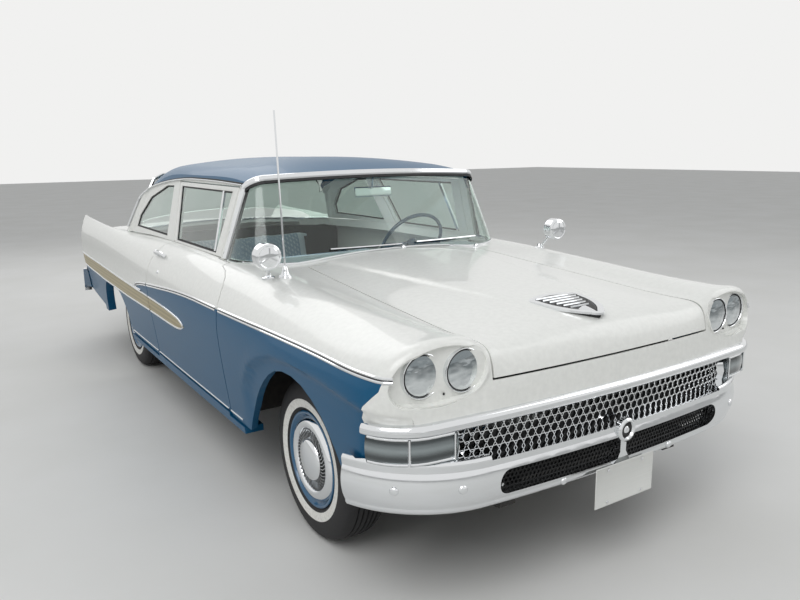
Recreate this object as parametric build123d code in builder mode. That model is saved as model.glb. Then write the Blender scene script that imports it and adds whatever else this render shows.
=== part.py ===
"""A two-door sedan of the late 1950s: full-width body with twin headlamps and low tail fins.

Millimetres. +Z is up, the nose points along -Y, and the car's left-hand side is at +X.
The origin is on the ground under the middle of the car.
"""

import os
from collections import namedtuple
from math import cos, radians, sin

from build123d import *

os.makedirs("parts", exist_ok=True)

# Overall
LENGTH = 5130
HALF_LENGTH = LENGTH / 2
FAR = 1200
LOW = 100
HIGH = 1700

# Running gear
WHEELBASE = 2946
FRONT_AXLE_Y = -1689
REAR_AXLE_Y = FRONT_AXLE_Y + WHEELBASE
FRONT_WHEEL_X = 750
REAR_WHEEL_X = 730
TYRE_R = 334
TYRE_WIDTH = 188
TYRE_WALL = 14
BEAD_R = 183
RIM_FLANGE_R = 196
CAP_R = 172
STUB_R = 20
BEARING_PLAY = 0.5
KINGPIN_X = 672
KINGPIN_R = 24
PIVOT_PLAY = 1
LOWER_ARM_Z = 232
UPPER_ARM_Z = 432
STEER_WHEEL_R = 212
ARM_THICKNESS = 26

# Body walls and shut lines
PANEL_WALL = 30
DOOR_WALL = 56
GLASS = 5
GLASS_INSET = 8
SHUT_GAP = 7
FRAME_GAP = 13
SILL_Z = 345
DOOR_BOTTOM_Z = 368
HOOD_REAR_Y = -1085
HOOD_FRONT_Z = 829
NOSE_PANEL_Z = 717
DOOR_FRONT_Y = -1060
DOOR_LENGTH = 1232
DOOR_HINGE_X = 981
BOOT_FRONT_Y = 1640
BOOT_SIDE_X = 640
BOOT_LOW_Z = 700
TAIL_PANEL_LOW_Z = 470
HOOD_SIDE_X = 545
COWL_SIDE_X = 525

# Headlamps, (x, y of the front), and the oval bezel round each pair
HEADLAMPS = [(795, -2436), (650, -2458)]
LAMP_REAR_Y = -2350
LAMP_Z = 867
LAMP_R = 71
LAMP_DOME = 14
LAMP_NECK_R = 38
BEZEL_REAR_Y = -2345
BEZEL_LENGTH = 300
BEZEL_RIM = 6
BEZEL_FLOOR = 12
BEZEL_ARCS = [
    ((570, 862), (580, 922), (638, 944)), ((638, 944), (740, 956), (830, 938)),
    ((830, 938), (893, 900), (918, 842)), ((918, 842), (900, 797), (840, 779)),
    ((840, 779), (740, 770), (665, 783)), ((665, 783), (598, 810), (570, 862)),
]

# One row for each cross-section of the body below the windows, x outwards from the middle:
# crown height, shut line, ridge, shoulder, crease, widest point, lower side and foot.
Station = namedtuple(
    "Station", "y crown_z shut_x shut_z ridge_x ridge_z shoulder_x shoulder_z crease_x crease_z "
    "wide_x wide_z low_x low_z foot_x"
)
STATIONS = [
    Station(-2640, 925, 545, 912, 640, 968, 815, 958, 918, 908, 945, 775, 932, 560, 908),
    Station(-2250, 965, 556, 926, 705, 974, 855, 950, 950, 888, 969, 775, 952, 560, 924),
    Station(-1700, 1005, 547, 964, 757, 994, 880, 960, 962, 876, 975, 775, 957, 560, 928),
    Station(-1060, 1046, 525, 1006, 798, 1020, 893, 977, 964, 880, 977, 780, 958, 560, 930),
    Station(-300, 1050, 525, 1016, 806, 1030, 893, 986, 960, 890, 977, 785, 958, 560, 930),
    Station(400, 1045, 540, 1016, 806, 1028, 889, 986, 955, 905, 974, 790, 955, 560, 928),
    Station(1000, 1034, 600, 1010, 808, 1012, 888, 996, 946, 945, 970, 815, 951, 560, 924),
    Station(1700, 1000, 640, 976, 800, 974, 886, 1016, 938, 962, 966, 825, 945, 560, 918),
    Station(2520, 950, 640, 922, 790, 925, 884, 1033, 930, 950, 957, 830, 930, 560, 900),
]

# Nose and tail outlines in plan at a few heights. The nose is given at the middle and at three places
# further out, and the tail at its corner and its middle.
BEND_X = 820
TURN_X = 930
CORNER_X = 1000
EndRow = namedtuple("EndRow", "z nose_y bend_y turn_y corner_y tail_corner_y tail_y")
END_ROWS = [
    EndRow(200, -2380, -2190, -2130, -2060, 2365, 2400), EndRow(720, -2506, -2442, -2376, -2250, 2434, 2469),
    EndRow(850, -2496, -2452, -2402, -2290, 2451, 2486), EndRow(965, -2446, -2436, -2385, -2280, 2467, 2502),
    EndRow(1065, -2402, -2392, -2340, -2230, 2480, 2515),
]

# Greenhouse outlines in plan at two heights, from the middle of the windscreen round to the rear window.
GlassRow = namedtuple(
    "GlassRow", "z front_y bow_x bow_y corner_x corner_y side_x side_y "
    "rear_side_y rear_corner_x rear_corner_y rear_bow_x rear_bow_y rear_y"
)
GLASS_ROWS = [
    GlassRow(985, -1062, 646, -998, 774, -916, 814, -727, 1179, 753, 1460, 600, 1547, 1611),
    GlassRow(1530, -800, 585, -778, 636, -765, 645, -735, 880, 636, 905, 585, 918, 930),
]

# Roof cross-sections: edge height at the drip rail, height at the shoulder, crown.
ROOF_HALF_WIDTH = 700
ROOF_SHOULDER_X = 560
RoofRow = namedtuple("RoofRow", "y edge_z shoulder_z crown_z")
ROOF_ROWS = [
    RoofRow(-1150, 1330, 1368, 1385),
    RoofRow(-850, 1383, 1420, 1442),
    RoofRow(-300, 1397, 1472, 1510),
    RoofRow(400, 1392, 1470, 1510),
    RoofRow(850, 1338, 1435, 1478),
    RoofRow(1150, 1240, 1345, 1395),
    RoofRow(1450, 1120, 1230, 1285),
]

# Side-view outlines, (y, z)
WINDSCREEN_OUTLINE = [(-FAR, 900), (-718, 900), (-718, 1030), (-752, 1376), (-862, 1442), (-FAR, 1442)]
REAR_GLASS_OUTLINE = [(1240, 900), (1240, 1032), (1187, 1134), (1118, 1273), (1000, 1340), (1075, 1392),
                      (1700, 1392), (1700, 900)]
QUARTER_GLASS_OUTLINE = [(316, 1048), (409, 1347), (560, 1341), (640, 1318), (877, 1255), (1050, 1123),
                         (1064, 1048)]
FRAME_OUTER = [(-655, 960), (-655, 1030), (-690, 1372), (290, 1372), (152, 1036), (140, 1036), (140, 960)]
DOOR_GLASS_OUTLINE = [(-575, 1042), (-612, 1350), (250, 1350), (112, 1042)]
FRONT_ARCH = [(-1262, 300), (-1340, 430), (-1500, 620), (-1690, 720), (-1880, 728), (-2015, 680),
              (-2115, 560), (-2190, 300)]
REAR_ARCH = [(850, 300), (885, 440), (985, 580), (1130, 632), (1400, 632), (1545, 585), (1640, 420),
             (1680, 300)]


def save(part, node):
    part.label = node
    export_step(part, f"parts/{node}.step")


def mirrored(points):
    return [(-x, z) for x, z in points]


def side_prism(points, x_from, x_to):
    """A side-view outline of (y, z) points, carried across the car."""
    with BuildPart() as prism:
        with BuildSketch(Plane.YZ.offset(x_from)):
            with BuildLine():
                Polyline(*points, close=True)
            make_face()
        extrude(amount=x_to - x_from)
    return prism.part


def plan_prism(points, z_from, z_to):
    """A plan outline of (x, y) points, carried upwards."""
    with BuildPart() as prism:
        with BuildSketch(Plane.XY.offset(z_from)):
            with BuildLine():
                Polyline(*points, close=True)
            make_face()
        extrude(amount=z_to - z_from)
    return prism.part


def block(x_from, x_to, y_from, y_to, z_from, z_to):
    corners = [(x_from, y_from), (x_to, y_from), (x_to, y_to), (x_from, y_to)]
    return plan_prism(corners, z_from, z_to)


def rod(start, end, radius):
    """A round bar between two points."""
    start, end = Vector(*start), Vector(*end)
    with BuildPart() as part:
        with BuildSketch(Plane(origin=start, z_dir=end - start)):
            Circle(radius)
        extrude(amount=(end - start).length)
    return part.part


def arch_prism(points, x_from, x_to):
    """A wheel arch: straight feet, an arc up each end and a flat top."""
    a, b, c, d, e, f, g, h = points
    with BuildPart() as prism:
        with BuildSketch(Plane.YZ.offset(x_from)):
            with BuildLine():
                Line(a, b)
                ThreePointArc(b, c, d)
                Line(d, e)
                ThreePointArc(e, f, g)
                Polyline(g, h, a)
            make_face()
        extrude(amount=x_to - x_from)
    return prism.part


def hull(inset=0, drop=0):
    """The body below the windows as one closed form, moved inwards by inset."""
    with BuildPart() as form:
        for row in STATIONS:
            shut = (row.shut_x, row.shut_z - inset)
            ridge = (row.ridge_x - 0.4 * inset, row.ridge_z - inset)
            shoulder = (row.shoulder_x - inset, row.shoulder_z - 1.4 * inset)
            crease = (row.crease_x - inset, row.crease_z - 0.6 * inset)
            wide = (row.wide_x - inset, row.wide_z)
            low = (row.low_x - inset, row.low_z)
            foot = (row.foot_x - inset, SILL_Z - drop)
            with BuildSketch(Plane.XZ.offset(-row.y)):
                with BuildLine():
                    ThreePointArc(mirrored([shut])[0], (0, row.crown_z - inset), shut)
                    for side in (1, -1):
                        p = [(side * x, z) for x, z in (shut, ridge, shoulder, crease, wide, low, foot)]
                        Line(p[0], p[1])
                        Line(p[1], p[2])
                        Line(p[2], p[3])
                        ThreePointArc(p[3], p[4], p[5])
                        Line(p[5], p[6])
                    Line(foot, mirrored([foot])[0])
                make_face()
        loft()
    return form.part


def ends(inset=0):
    """Everything between the nose and the tail surfaces, both leaning as END_ROWS says."""
    with BuildPart() as form:
        for row in END_ROWS:
            bend, turn = (BEND_X, row.bend_y + inset), (TURN_X, row.turn_y + inset)
            corner, tail_corner = (CORNER_X, row.corner_y + inset), (CORNER_X, row.tail_corner_y - inset)
            with BuildSketch(Plane.XY.offset(row.z)):
                with BuildLine():
                    ThreePointArc(mirrored([bend])[0], (0, row.nose_y + inset), bend)
                    ThreePointArc(bend, turn, corner)
                    Line(corner, tail_corner)
                    ThreePointArc(tail_corner, (0, row.tail_y - inset), mirrored([tail_corner])[0])
                    Line(mirrored([tail_corner])[0], mirrored([corner])[0])
                    ThreePointArc(*mirrored([corner, turn, bend]))
                make_face()
        loft(ruled=True)
    return form.part


def greenhouse(inset=0):
    """Windscreen, side glass and rear window as one closed form under the roof."""
    with BuildPart() as form:
        for row in GLASS_ROWS:
            with BuildSketch(Plane.XY.offset(row.z)):
                with BuildLine():
                    front = [(row.bow_x - 0.3 * inset, row.bow_y + inset),
                             (row.corner_x - 0.8 * inset, row.corner_y + 0.8 * inset),
                             (row.side_x - inset, row.side_y + 0.3 * inset)]
                    rear = [(row.side_x - inset, row.rear_side_y - 0.3 * inset),
                            (row.rear_corner_x - 0.8 * inset, row.rear_corner_y - 0.8 * inset),
                            (row.rear_bow_x - 0.3 * inset, row.rear_bow_y - inset)]
                    ThreePointArc(mirrored(front)[0], (0, row.front_y + inset), front[0])
                    ThreePointArc(*front)
                    Line(front[2], rear[0])
                    ThreePointArc(*rear)
                    ThreePointArc(rear[2], (0, row.rear_y - inset), mirrored(rear)[2])
                    ThreePointArc(*reversed(mirrored(rear)))
                    Line(mirrored(rear)[0], mirrored(front)[2])
                    ThreePointArc(*reversed(mirrored(front)))
                make_face()
        loft(ruled=True)
    return form.part


def roof_dome(inset=0):
    """Everything below the roof surface."""
    with BuildPart() as form:
        for row in ROOF_ROWS:
            edge = (ROOF_HALF_WIDTH, row.edge_z - inset)
            shoulder = (ROOF_SHOULDER_X, row.shoulder_z - inset)
            middle = ((edge[0] + shoulder[0]) / 2, (edge[1] + shoulder[1]) / 2 + 0.16 * (row.crown_z - row.edge_z))
            with BuildSketch(Plane.XZ.offset(-row.y)):
                with BuildLine():
                    ThreePointArc(mirrored([shoulder])[0], (0, row.crown_z - inset), shoulder)
                    ThreePointArc(shoulder, middle, edge)
                    Polyline(edge, (1000, edge[1] - 40), (1000, 900), (-1000, 900), (-1000, edge[1] - 40),
                             mirrored([edge])[0])
                    ThreePointArc(mirrored([edge])[0], mirrored([middle])[0], mirrored([shoulder])[0])
                make_face()
        loft()
    return form.part


# Forms shared by the body panels
outer = hull() & ends()
thin_shell = outer - (hull(PANEL_WALL, drop=200) & ends(PANEL_WALL))
thick_shell = outer - (hull(DOOR_WALL, drop=200) & ends(PANEL_WALL))
upper = greenhouse() & roof_dome()
upper_shell = upper - (greenhouse(PANEL_WALL) & roof_dome(PANEL_WALL))
with BuildPart() as cabin_opening:
    add(greenhouse(PANEL_WALL + 4))
    extrude(cabin_opening.faces().sort_by(Axis.Z)[0], amount=150)
thin_shell = thin_shell - cabin_opening.part
thick_shell = thick_shell - cabin_opening.part


def door_round(radius):
    """The round that the door's rear edge swings along."""
    with BuildPart() as form:
        with BuildSketch(Plane.XY.offset(LOW)):
            with Locations((DOOR_HINGE_X, DOOR_FRONT_Y)):
                Circle(radius)
        extrude(amount=HIGH - LOW)
    return form.part


def door_front_line(shift):
    """The door's front edge in side view: upright, then swept back over the shoulder."""
    return [(DOOR_FRONT_Y + shift, LOW), (DOOR_FRONT_Y + shift, 850), (DOOR_FRONT_Y + 40 + shift, 930),
            (DOOR_FRONT_Y + 130 + shift, 985), (DOOR_FRONT_Y + 250 + shift, 1010),
            (DOOR_FRONT_Y + 262 + shift, 1200)]


FENDER_OUTLINE = [(-2700, LOW), *door_front_line(-SHUT_GAP / 2), (-2700, 1200)]
DOOR_OUTLINE = [*door_front_line(SHUT_GAP / 2)[1:], (600, 1200), (600, DOOR_BOTTOM_Z),
                (DOOR_FRONT_Y + SHUT_GAP / 2, DOOR_BOTTOM_Z)]
TONGUE_X = 806
TONGUE_REAR_Y = -657


def hood_plan(clearance):
    """The plan between the two hood seams, wider by clearance on each side."""
    right = [(HOOD_SIDE_X + clearance, -2700), (HOOD_SIDE_X + clearance + 12, -2250),
             (HOOD_SIDE_X + clearance, -1700), (COWL_SIDE_X + clearance, HOOD_REAR_Y)]
    return right


# Front wings
wing_gap = SHUT_GAP / 2
seam = hood_plan(wing_gap) + [(COWL_SIDE_X + wing_gap, -700), (0, -700), (0, -2700)]


def bezel_prism(inset):
    """The oval round a pair of headlamps, carried forwards, smaller by inset all round."""
    with BuildPart() as prism:
        with BuildSketch(Plane.XZ.offset(-BEZEL_REAR_Y)):
            with BuildLine():
                for start, middle, end in BEZEL_ARCS:
                    ThreePointArc(start, middle, end)
            make_face()
            offset(amount=-inset)
        extrude(amount=BEZEL_LENGTH)
    return prism.part


with BuildPart() as front_fender:
    add(thin_shell)
    add(side_prism(FENDER_OUTLINE, HOOD_SIDE_X - 60, FAR), mode=Mode.INTERSECT)
    add(plan_prism(seam, LOW, HIGH), mode=Mode.SUBTRACT)
    add(block(0, TONGUE_X, -985, -600, 900, HIGH), mode=Mode.SUBTRACT)
    add(arch_prism(FRONT_ARCH, 560, FAR), mode=Mode.SUBTRACT)
    add(bezel_prism(0), mode=Mode.SUBTRACT)
save(front_fender.part, "front_fender_l")
save(mirror(front_fender.part, about=Plane.YZ), "front_fender_r")

# Hood
with BuildPart() as hood:
    add(thin_shell)
    edge = hood_plan(-wing_gap)
    add(plan_prism(edge + [(-x, y) for x, y in reversed(edge)], HOOD_FRONT_Z, HIGH), mode=Mode.INTERSECT)
save(hood.part, "hood")

# Nose panel between the headlamps
with BuildPart() as nose_panel:
    add(thin_shell)
    add(block(-600, 600, -2700, -2300, NOSE_PANEL_Z, HOOD_FRONT_Z - SHUT_GAP), mode=Mode.INTERSECT)
    edge = hood_plan(wing_gap)
    add(plan_prism(edge + [(-x, y) for x, y in reversed(edge)], LOW, HIGH), mode=Mode.INTERSECT)
save(nose_panel.part, "nose_panel")

# Cowl with the two feet of the windscreen pillars
with BuildPart() as cowl_zone:
    add(block(-COWL_SIDE_X - wing_gap, COWL_SIDE_X + wing_gap, HOOD_REAR_Y + SHUT_GAP, -700, 900, HIGH))
    add(block(-TONGUE_X, TONGUE_X, -985, TONGUE_REAR_Y, 900, HIGH))
cowl = thin_shell & cowl_zone.part
save(cowl, "cowl")

# Door shell and its window frame
with BuildPart() as door:
    add(thick_shell)
    add(side_prism(DOOR_OUTLINE, 600, FAR), mode=Mode.INTERSECT)
    add(door_round(DOOR_LENGTH - SHUT_GAP / 2), mode=Mode.INTERSECT)
    add(block(0, TONGUE_X + 6, -1100, TONGUE_REAR_Y + 6, 900, HIGH), mode=Mode.SUBTRACT)
    add((side_prism(FRAME_OUTER, 500, FAR) & greenhouse()) - greenhouse(PANEL_WALL))
    add(side_prism(DOOR_GLASS_OUTLINE, 500, FAR), mode=Mode.SUBTRACT)
save(door.part, "door_l")
save(mirror(door.part, about=Plane.YZ), "door_r")

with BuildPart() as door_glass:
    add(greenhouse(GLASS_INSET))
    add(greenhouse(GLASS_INSET + GLASS), mode=Mode.SUBTRACT)
    add(side_prism(DOOR_GLASS_OUTLINE, 500, FAR), mode=Mode.INTERSECT)
save(door_glass.part, "door_glass_l")
save(mirror(door_glass.part, about=Plane.YZ), "door_glass_r")

# Quarter panels
with BuildPart() as quarter:
    add(thick_shell)
    add(block(0, FAR, -600, 2700, LOW, HIGH), mode=Mode.INTERSECT)
    add(door_round(DOOR_LENGTH + SHUT_GAP / 2), mode=Mode.SUBTRACT)
    add(block(0, BOOT_SIDE_X + SHUT_GAP / 2, 1400, 2700, LOW, HIGH), mode=Mode.SUBTRACT)
    add(arch_prism(REAR_ARCH, 560, FAR), mode=Mode.SUBTRACT)
save(quarter.part, "quarter_panel_l")
save(mirror(quarter.part, about=Plane.YZ), "quarter_panel_r")

# Boot lid, rear deck and tail panel
with BuildPart() as boot_lid:
    add(thin_shell)
    add(block(-BOOT_SIDE_X + SHUT_GAP / 2, BOOT_SIDE_X - SHUT_GAP / 2, BOOT_FRONT_Y, 2700, BOOT_LOW_Z, HIGH),
        mode=Mode.INTERSECT)
save(boot_lid.part, "boot_lid")

with BuildPart() as rear_deck:
    add(thin_shell)
    add(block(-BOOT_SIDE_X - SHUT_GAP / 2, BOOT_SIDE_X + SHUT_GAP / 2, 1400, BOOT_FRONT_Y - SHUT_GAP, 800, HIGH),
        mode=Mode.INTERSECT)
save(rear_deck.part, "rear_deck")

with BuildPart() as tail_panel:
    add(thin_shell)
    add(block(-BOOT_SIDE_X - SHUT_GAP / 2, BOOT_SIDE_X + SHUT_GAP / 2, 2300, 2700, TAIL_PANEL_LOW_Z, BOOT_LOW_Z - SHUT_GAP),
        mode=Mode.INTERSECT)
save(tail_panel.part, "tail_panel")

# Roof with its pillars
with BuildPart() as roof:
    add(upper_shell)
    add(side_prism(WINDSCREEN_OUTLINE, -FAR, FAR), mode=Mode.SUBTRACT)
    add(side_prism(REAR_GLASS_OUTLINE, -FAR, FAR), mode=Mode.SUBTRACT)
    opening = [(-655 - FRAME_GAP / 2, 900), (-655 - FRAME_GAP / 2, 1030), (-690 - FRAME_GAP / 2, 1372 + FRAME_GAP / 2),
               (290 + FRAME_GAP + 4, 1372 + FRAME_GAP / 2), (152 + FRAME_GAP, 1036), (152 + FRAME_GAP, 900)]
    add(side_prism(opening, -FAR, FAR), mode=Mode.SUBTRACT)
    add(side_prism(QUARTER_GLASS_OUTLINE, -FAR, FAR), mode=Mode.SUBTRACT)
    add(outer, mode=Mode.SUBTRACT)
save(roof.part, "roof")

# Fixed glass
glass_shell = (greenhouse(GLASS_INSET) - greenhouse(GLASS_INSET + GLASS)) & roof_dome(1)
with BuildPart() as windscreen:
    add(glass_shell)
    add(side_prism(WINDSCREEN_OUTLINE, -FAR, FAR), mode=Mode.INTERSECT)
    add(outer, mode=Mode.SUBTRACT)
save(windscreen.part, "windscreen")

with BuildPart() as rear_glass:
    add(glass_shell)
    add(side_prism(REAR_GLASS_OUTLINE, -FAR, FAR), mode=Mode.INTERSECT)
    add(outer, mode=Mode.SUBTRACT)
save(rear_glass.part, "rear_glass")

with BuildPart() as quarter_glass:
    add(glass_shell)
    add(side_prism(QUARTER_GLASS_OUTLINE, -FAR, FAR), mode=Mode.INTERSECT)
save(quarter_glass.part, "quarter_glass")


# Tyres and wheels
def axle_frame(x, y):
    """The plane of a wheel's profile: local x runs outwards along the axle, local y is the radius."""
    side = 1 if x > 0 else -1
    return Plane(origin=(x, y, TYRE_R), x_dir=(side, 0, 0), z_dir=(0, -side, 0))


def tyre(x, y):
    half = TYRE_WIDTH / 2
    with BuildPart() as part:
        with BuildSketch(axle_frame(x, y)):
            with BuildLine():
                Polyline((-60, BEAD_R), (-75, BEAD_R), (-75, 200), (-82, 206))
                ThreePointArc((-82, 206), (-half, 262), (-76, 318))
                ThreePointArc((-76, 318), (0, TYRE_R), (76, 318))
                ThreePointArc((76, 318), (half, 262), (82, 206))
                Polyline((82, 206), (75, 200), (75, BEAD_R), (60, BEAD_R), (60, 206))
                ThreePointArc((60, 206), (half - TYRE_WALL, 262), (66, 306))
                Line((66, 306), (-66, 306))
                ThreePointArc((-66, 306), (-half + TYRE_WALL, 262), (-60, 206))
                Line((-60, 206), (-60, BEAD_R))
            make_face()
        revolve(axis=Axis((x, y, TYRE_R), (1, 0, 0)))
    return part.part


def wheel(x, y):
    bore = STUB_R + BEARING_PLAY
    with BuildPart() as part:
        with BuildSketch(axle_frame(x, y)):
            with BuildLine():
                Polyline((-84, RIM_FLANGE_R), (-75, RIM_FLANGE_R), (-75, BEAD_R), (-60, BEAD_R), (-45, 165), (45, 165),
                         (60, BEAD_R), (75, BEAD_R), (75, RIM_FLANGE_R), (84, RIM_FLANGE_R), (84, 186), (66, 174),
                         (50, 158), (40, 158), (34, 150), (34, 90), (22, 70), (22, bore), (-10, bore), (-10, 64),
                         (10, 64), (10, 80), (24, 98), (24, 158), (-50, 158), (-66, 174), (-84, 186), close=True)
            make_face()
        revolve(axis=Axis((x, y, TYRE_R), (1, 0, 0)))
    return part.part


def hub_cap(x, y):
    with BuildPart() as part:
        with BuildSketch(axle_frame(x, y)):
            with BuildLine():
                Polyline((66, 174), (72, CAP_R), (88, 150), (84, 126), (78, 122), (78, 88), (90, 84))
                ThreePointArc((90, 84), (104, 45), (107, 12))
                Polyline((107, 12), (107, 0), (100, 0), (100, 12))
                ThreePointArc((100, 12), (97, 44), (84, 78))
                Polyline((84, 78), (72, 82), (72, 124), (80, 148), (66, 162), (60, 168), (66, 174))
            make_face()
        revolve(axis=Axis((x, y, TYRE_R), (1, 0, 0)))
    return part.part


WHEELS = [("fl", FRONT_WHEEL_X, FRONT_AXLE_Y), ("fr", -FRONT_WHEEL_X, FRONT_AXLE_Y),
          ("rl", REAR_WHEEL_X, REAR_AXLE_Y), ("rr", -REAR_WHEEL_X, REAR_AXLE_Y)]
for corner, x, y in WHEELS:
    save(tyre(x, y), "tyre_" + corner)
    save(wheel(x, y) + hub_cap(x, y), "wheel_" + corner)


# Steering knuckles
for side, corner in ((1, "l"), (-1, "r")):
    with BuildPart() as knuckle:
        add(rod((side * KINGPIN_X, FRONT_AXLE_Y, LOWER_ARM_Z + ARM_THICKNESS / 2 + PIVOT_PLAY),
                (side * KINGPIN_X, FRONT_AXLE_Y, UPPER_ARM_Z - ARM_THICKNESS / 2 - PIVOT_PLAY), KINGPIN_R))
        add(rod((side * KINGPIN_X, FRONT_AXLE_Y, TYRE_R), (side * (FRONT_WHEEL_X + 26), FRONT_AXLE_Y, TYRE_R), STUB_R))
        add(rod((side * (KINGPIN_X + 20), FRONT_AXLE_Y, TYRE_R), (side * (FRONT_WHEEL_X - 16), FRONT_AXLE_Y, TYRE_R),
                80))
    save(knuckle.part, "knuckle_" + corner)

# Frame
RAIL_X = 435
RAIL_WIDTH = 70
RAIL_DEPTH = 100
RailPoint = namedtuple("RailPoint", "y low_z")
RAIL_POINTS = [
    RailPoint(-2420, 330), RailPoint(-2200, 300), RailPoint(-1900, 290), RailPoint(-1450, 290), RailPoint(-1150, 215),
    RailPoint(800, 215), RailPoint(1020, 400), RailPoint(1480, 400), RailPoint(1700, 340), RailPoint(2350, 340),
]
LOWER_ARM_ROOT_X = 480
SPRING_X = 520
SPRING_WIDTH = 60
SPRING_FRONT_Y = 560
SPRING_FRONT_Z = 255
SPRING_REAR_Y = 1960
SPRING_REAR_Z = 420
SPRING_STACK = 50
SPRING_END = 40
with BuildPart() as frame:
    for side in (1, -1):
        below = [(p.y, p.low_z) for p in RAIL_POINTS]
        above = [(p.y, p.low_z + RAIL_DEPTH) for p in reversed(RAIL_POINTS)]
        add(side_prism(below + above, side * RAIL_X - RAIL_WIDTH / 2, side * RAIL_X + RAIL_WIDTH / 2))
    for y, low in ((-2300, 330), (FRONT_AXLE_Y, 210), (-900, 225), (600, 220), (1450, 420), (2250, 350)):
        add(block(-RAIL_X, RAIL_X, y - 45, y + 45, low, low + 80))
    for side in (1, -1):
        add(block(side * 400, side * LOWER_ARM_ROOT_X, FRONT_AXLE_Y - 150, FRONT_AXLE_Y + 150, 210, 460))
        add(block(side * (RAIL_X + RAIL_WIDTH / 2), side * (SPRING_X + SPRING_WIDTH / 2), SPRING_FRONT_Y - 30,
                  SPRING_FRONT_Y + 30, SPRING_FRONT_Z - 30, SPRING_FRONT_Z))
        add(block(side * (RAIL_X + RAIL_WIDTH / 2), side * (SPRING_X + SPRING_WIDTH / 2), SPRING_REAR_Y - 30,
                  SPRING_REAR_Y + 30, SPRING_REAR_Z, SPRING_REAR_Z + 20))
save(frame.part, "frame")

with BuildPart() as control_arms:
    for side in (1, -1):
        for z, root_x, spread in ((LOWER_ARM_Z, LOWER_ARM_ROOT_X, 140), (UPPER_ARM_Z, LOWER_ARM_ROOT_X, 90)):
            outline = [(side * root_x, FRONT_AXLE_Y - spread), (side * (KINGPIN_X + 20), FRONT_AXLE_Y - 26),
                       (side * (KINGPIN_X + 20), FRONT_AXLE_Y + 26), (side * root_x, FRONT_AXLE_Y + spread)]
            add(plan_prism(outline, z - ARM_THICKNESS / 2, z + ARM_THICKNESS / 2))
save(control_arms.part, "control_arms")

# Engine with its gearbox
GEARBOX_REAR_Y = -1010
with BuildPart() as engine:
    add(block(-280, 280, -2080, -1290, 290, 860))
    add(block(-130, 130, -1290, GEARBOX_REAR_Y, 300, 480))
save(engine.part, "engine")

# Rear axle, springs and drive shaft
AXLE_TUBE_R = 38
with BuildPart() as rear_axle:
    add(rod((-REAR_WHEEL_X + 22, REAR_AXLE_Y, TYRE_R), (REAR_WHEEL_X - 22, REAR_AXLE_Y, TYRE_R), AXLE_TUBE_R))
    add(rod((-REAR_WHEEL_X - 26, REAR_AXLE_Y, TYRE_R), (REAR_WHEEL_X + 26, REAR_AXLE_Y, TYRE_R), STUB_R))
    with BuildSketch(Plane.YZ):
        with Locations((REAR_AXLE_Y, TYRE_R)):
            Circle(125)
    extrude(amount=90, both=True)
    add(rod((0, REAR_AXLE_Y, TYRE_R), (0, REAR_AXLE_Y - 230, TYRE_R), 60))
    add(rod((0, REAR_AXLE_Y - 230, TYRE_R), (0, GEARBOX_REAR_Y, 345), 32))
    for side in (1, -1):
        add(rod((side * (REAR_WHEEL_X - 60), REAR_AXLE_Y, TYRE_R), (side * (REAR_WHEEL_X - 16), REAR_AXLE_Y, TYRE_R),
                130))
    add(engine.part, mode=Mode.SUBTRACT)
save(rear_axle.part, "rear_axle")

with BuildPart() as leaf_springs:
    for side in (1, -1):
        with BuildSketch(Plane.YZ.offset(side * SPRING_X - SPRING_WIDTH / 2)):
            with BuildLine():
                spring_top = TYRE_R - AXLE_TUBE_R
                front, rear = (SPRING_FRONT_Y, SPRING_FRONT_Z), (SPRING_REAR_Y, SPRING_REAR_Z)
                ThreePointArc(front, (REAR_AXLE_Y, spring_top - SPRING_STACK), (rear[0], rear[1] - SPRING_END))
                Line((rear[0], rear[1] - SPRING_END), rear)
                ThreePointArc(rear, (REAR_AXLE_Y, spring_top), (front[0], front[1] + SPRING_END))
                Line((front[0], front[1] + SPRING_END), front)
            make_face()
        extrude(amount=SPRING_WIDTH)
    add(frame.part, mode=Mode.SUBTRACT)
    add(rear_axle.part, mode=Mode.SUBTRACT)
save(leaf_springs.part, "leaf_springs")


# Radiator, tank and exhaust
with BuildPart() as radiator:
    add(block(-340, 340, -2300, -2230, 410, 880))
save(radiator.part, "radiator")

with BuildPart() as fuel_tank:
    add(block(-RAIL_X + RAIL_WIDTH / 2, RAIL_X - RAIL_WIDTH / 2, 1720, 2200, 250, 430))
save(fuel_tank.part, "fuel_tank")

EXHAUST_X = -330
EXHAUST_Z = 185
with BuildPart() as exhaust:
    add(rod((EXHAUST_X, -1300, EXHAUST_Z), (EXHAUST_X, 2400, EXHAUST_Z), 25))
    add(rod((EXHAUST_X, 660, EXHAUST_Z), (EXHAUST_X, 1080, EXHAUST_Z), 60))
    add(block(EXHAUST_X - 10, EXHAUST_X + 10, -910, -890, EXHAUST_Z, 225))
    add(block(EXHAUST_X - 10, EXHAUST_X + 10, 590, 610, EXHAUST_Z, 220))
save(exhaust.part, "exhaust")

# Levels of the floor
FLOOR_Z = 315
FLOOR_THICKNESS = 14
FLOOR_SIDE_X = 850

# Sills under the doors
with BuildPart() as sills:
    for side in (1, -1):
        add(block(side * FLOOR_SIDE_X, side * 1000, -1240, 840, FLOOR_Z, SILL_Z))
        add(block(side * FLOOR_SIDE_X, side * 1000, DOOR_FRONT_Y + 4, DOOR_FRONT_Y + DOOR_LENGTH - 20, FLOOR_Z,
                  DOOR_BOTTOM_Z - SHUT_GAP))
    add(hull(0, drop=100), mode=Mode.INTERSECT)
save(sills.part, "sills")

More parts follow.
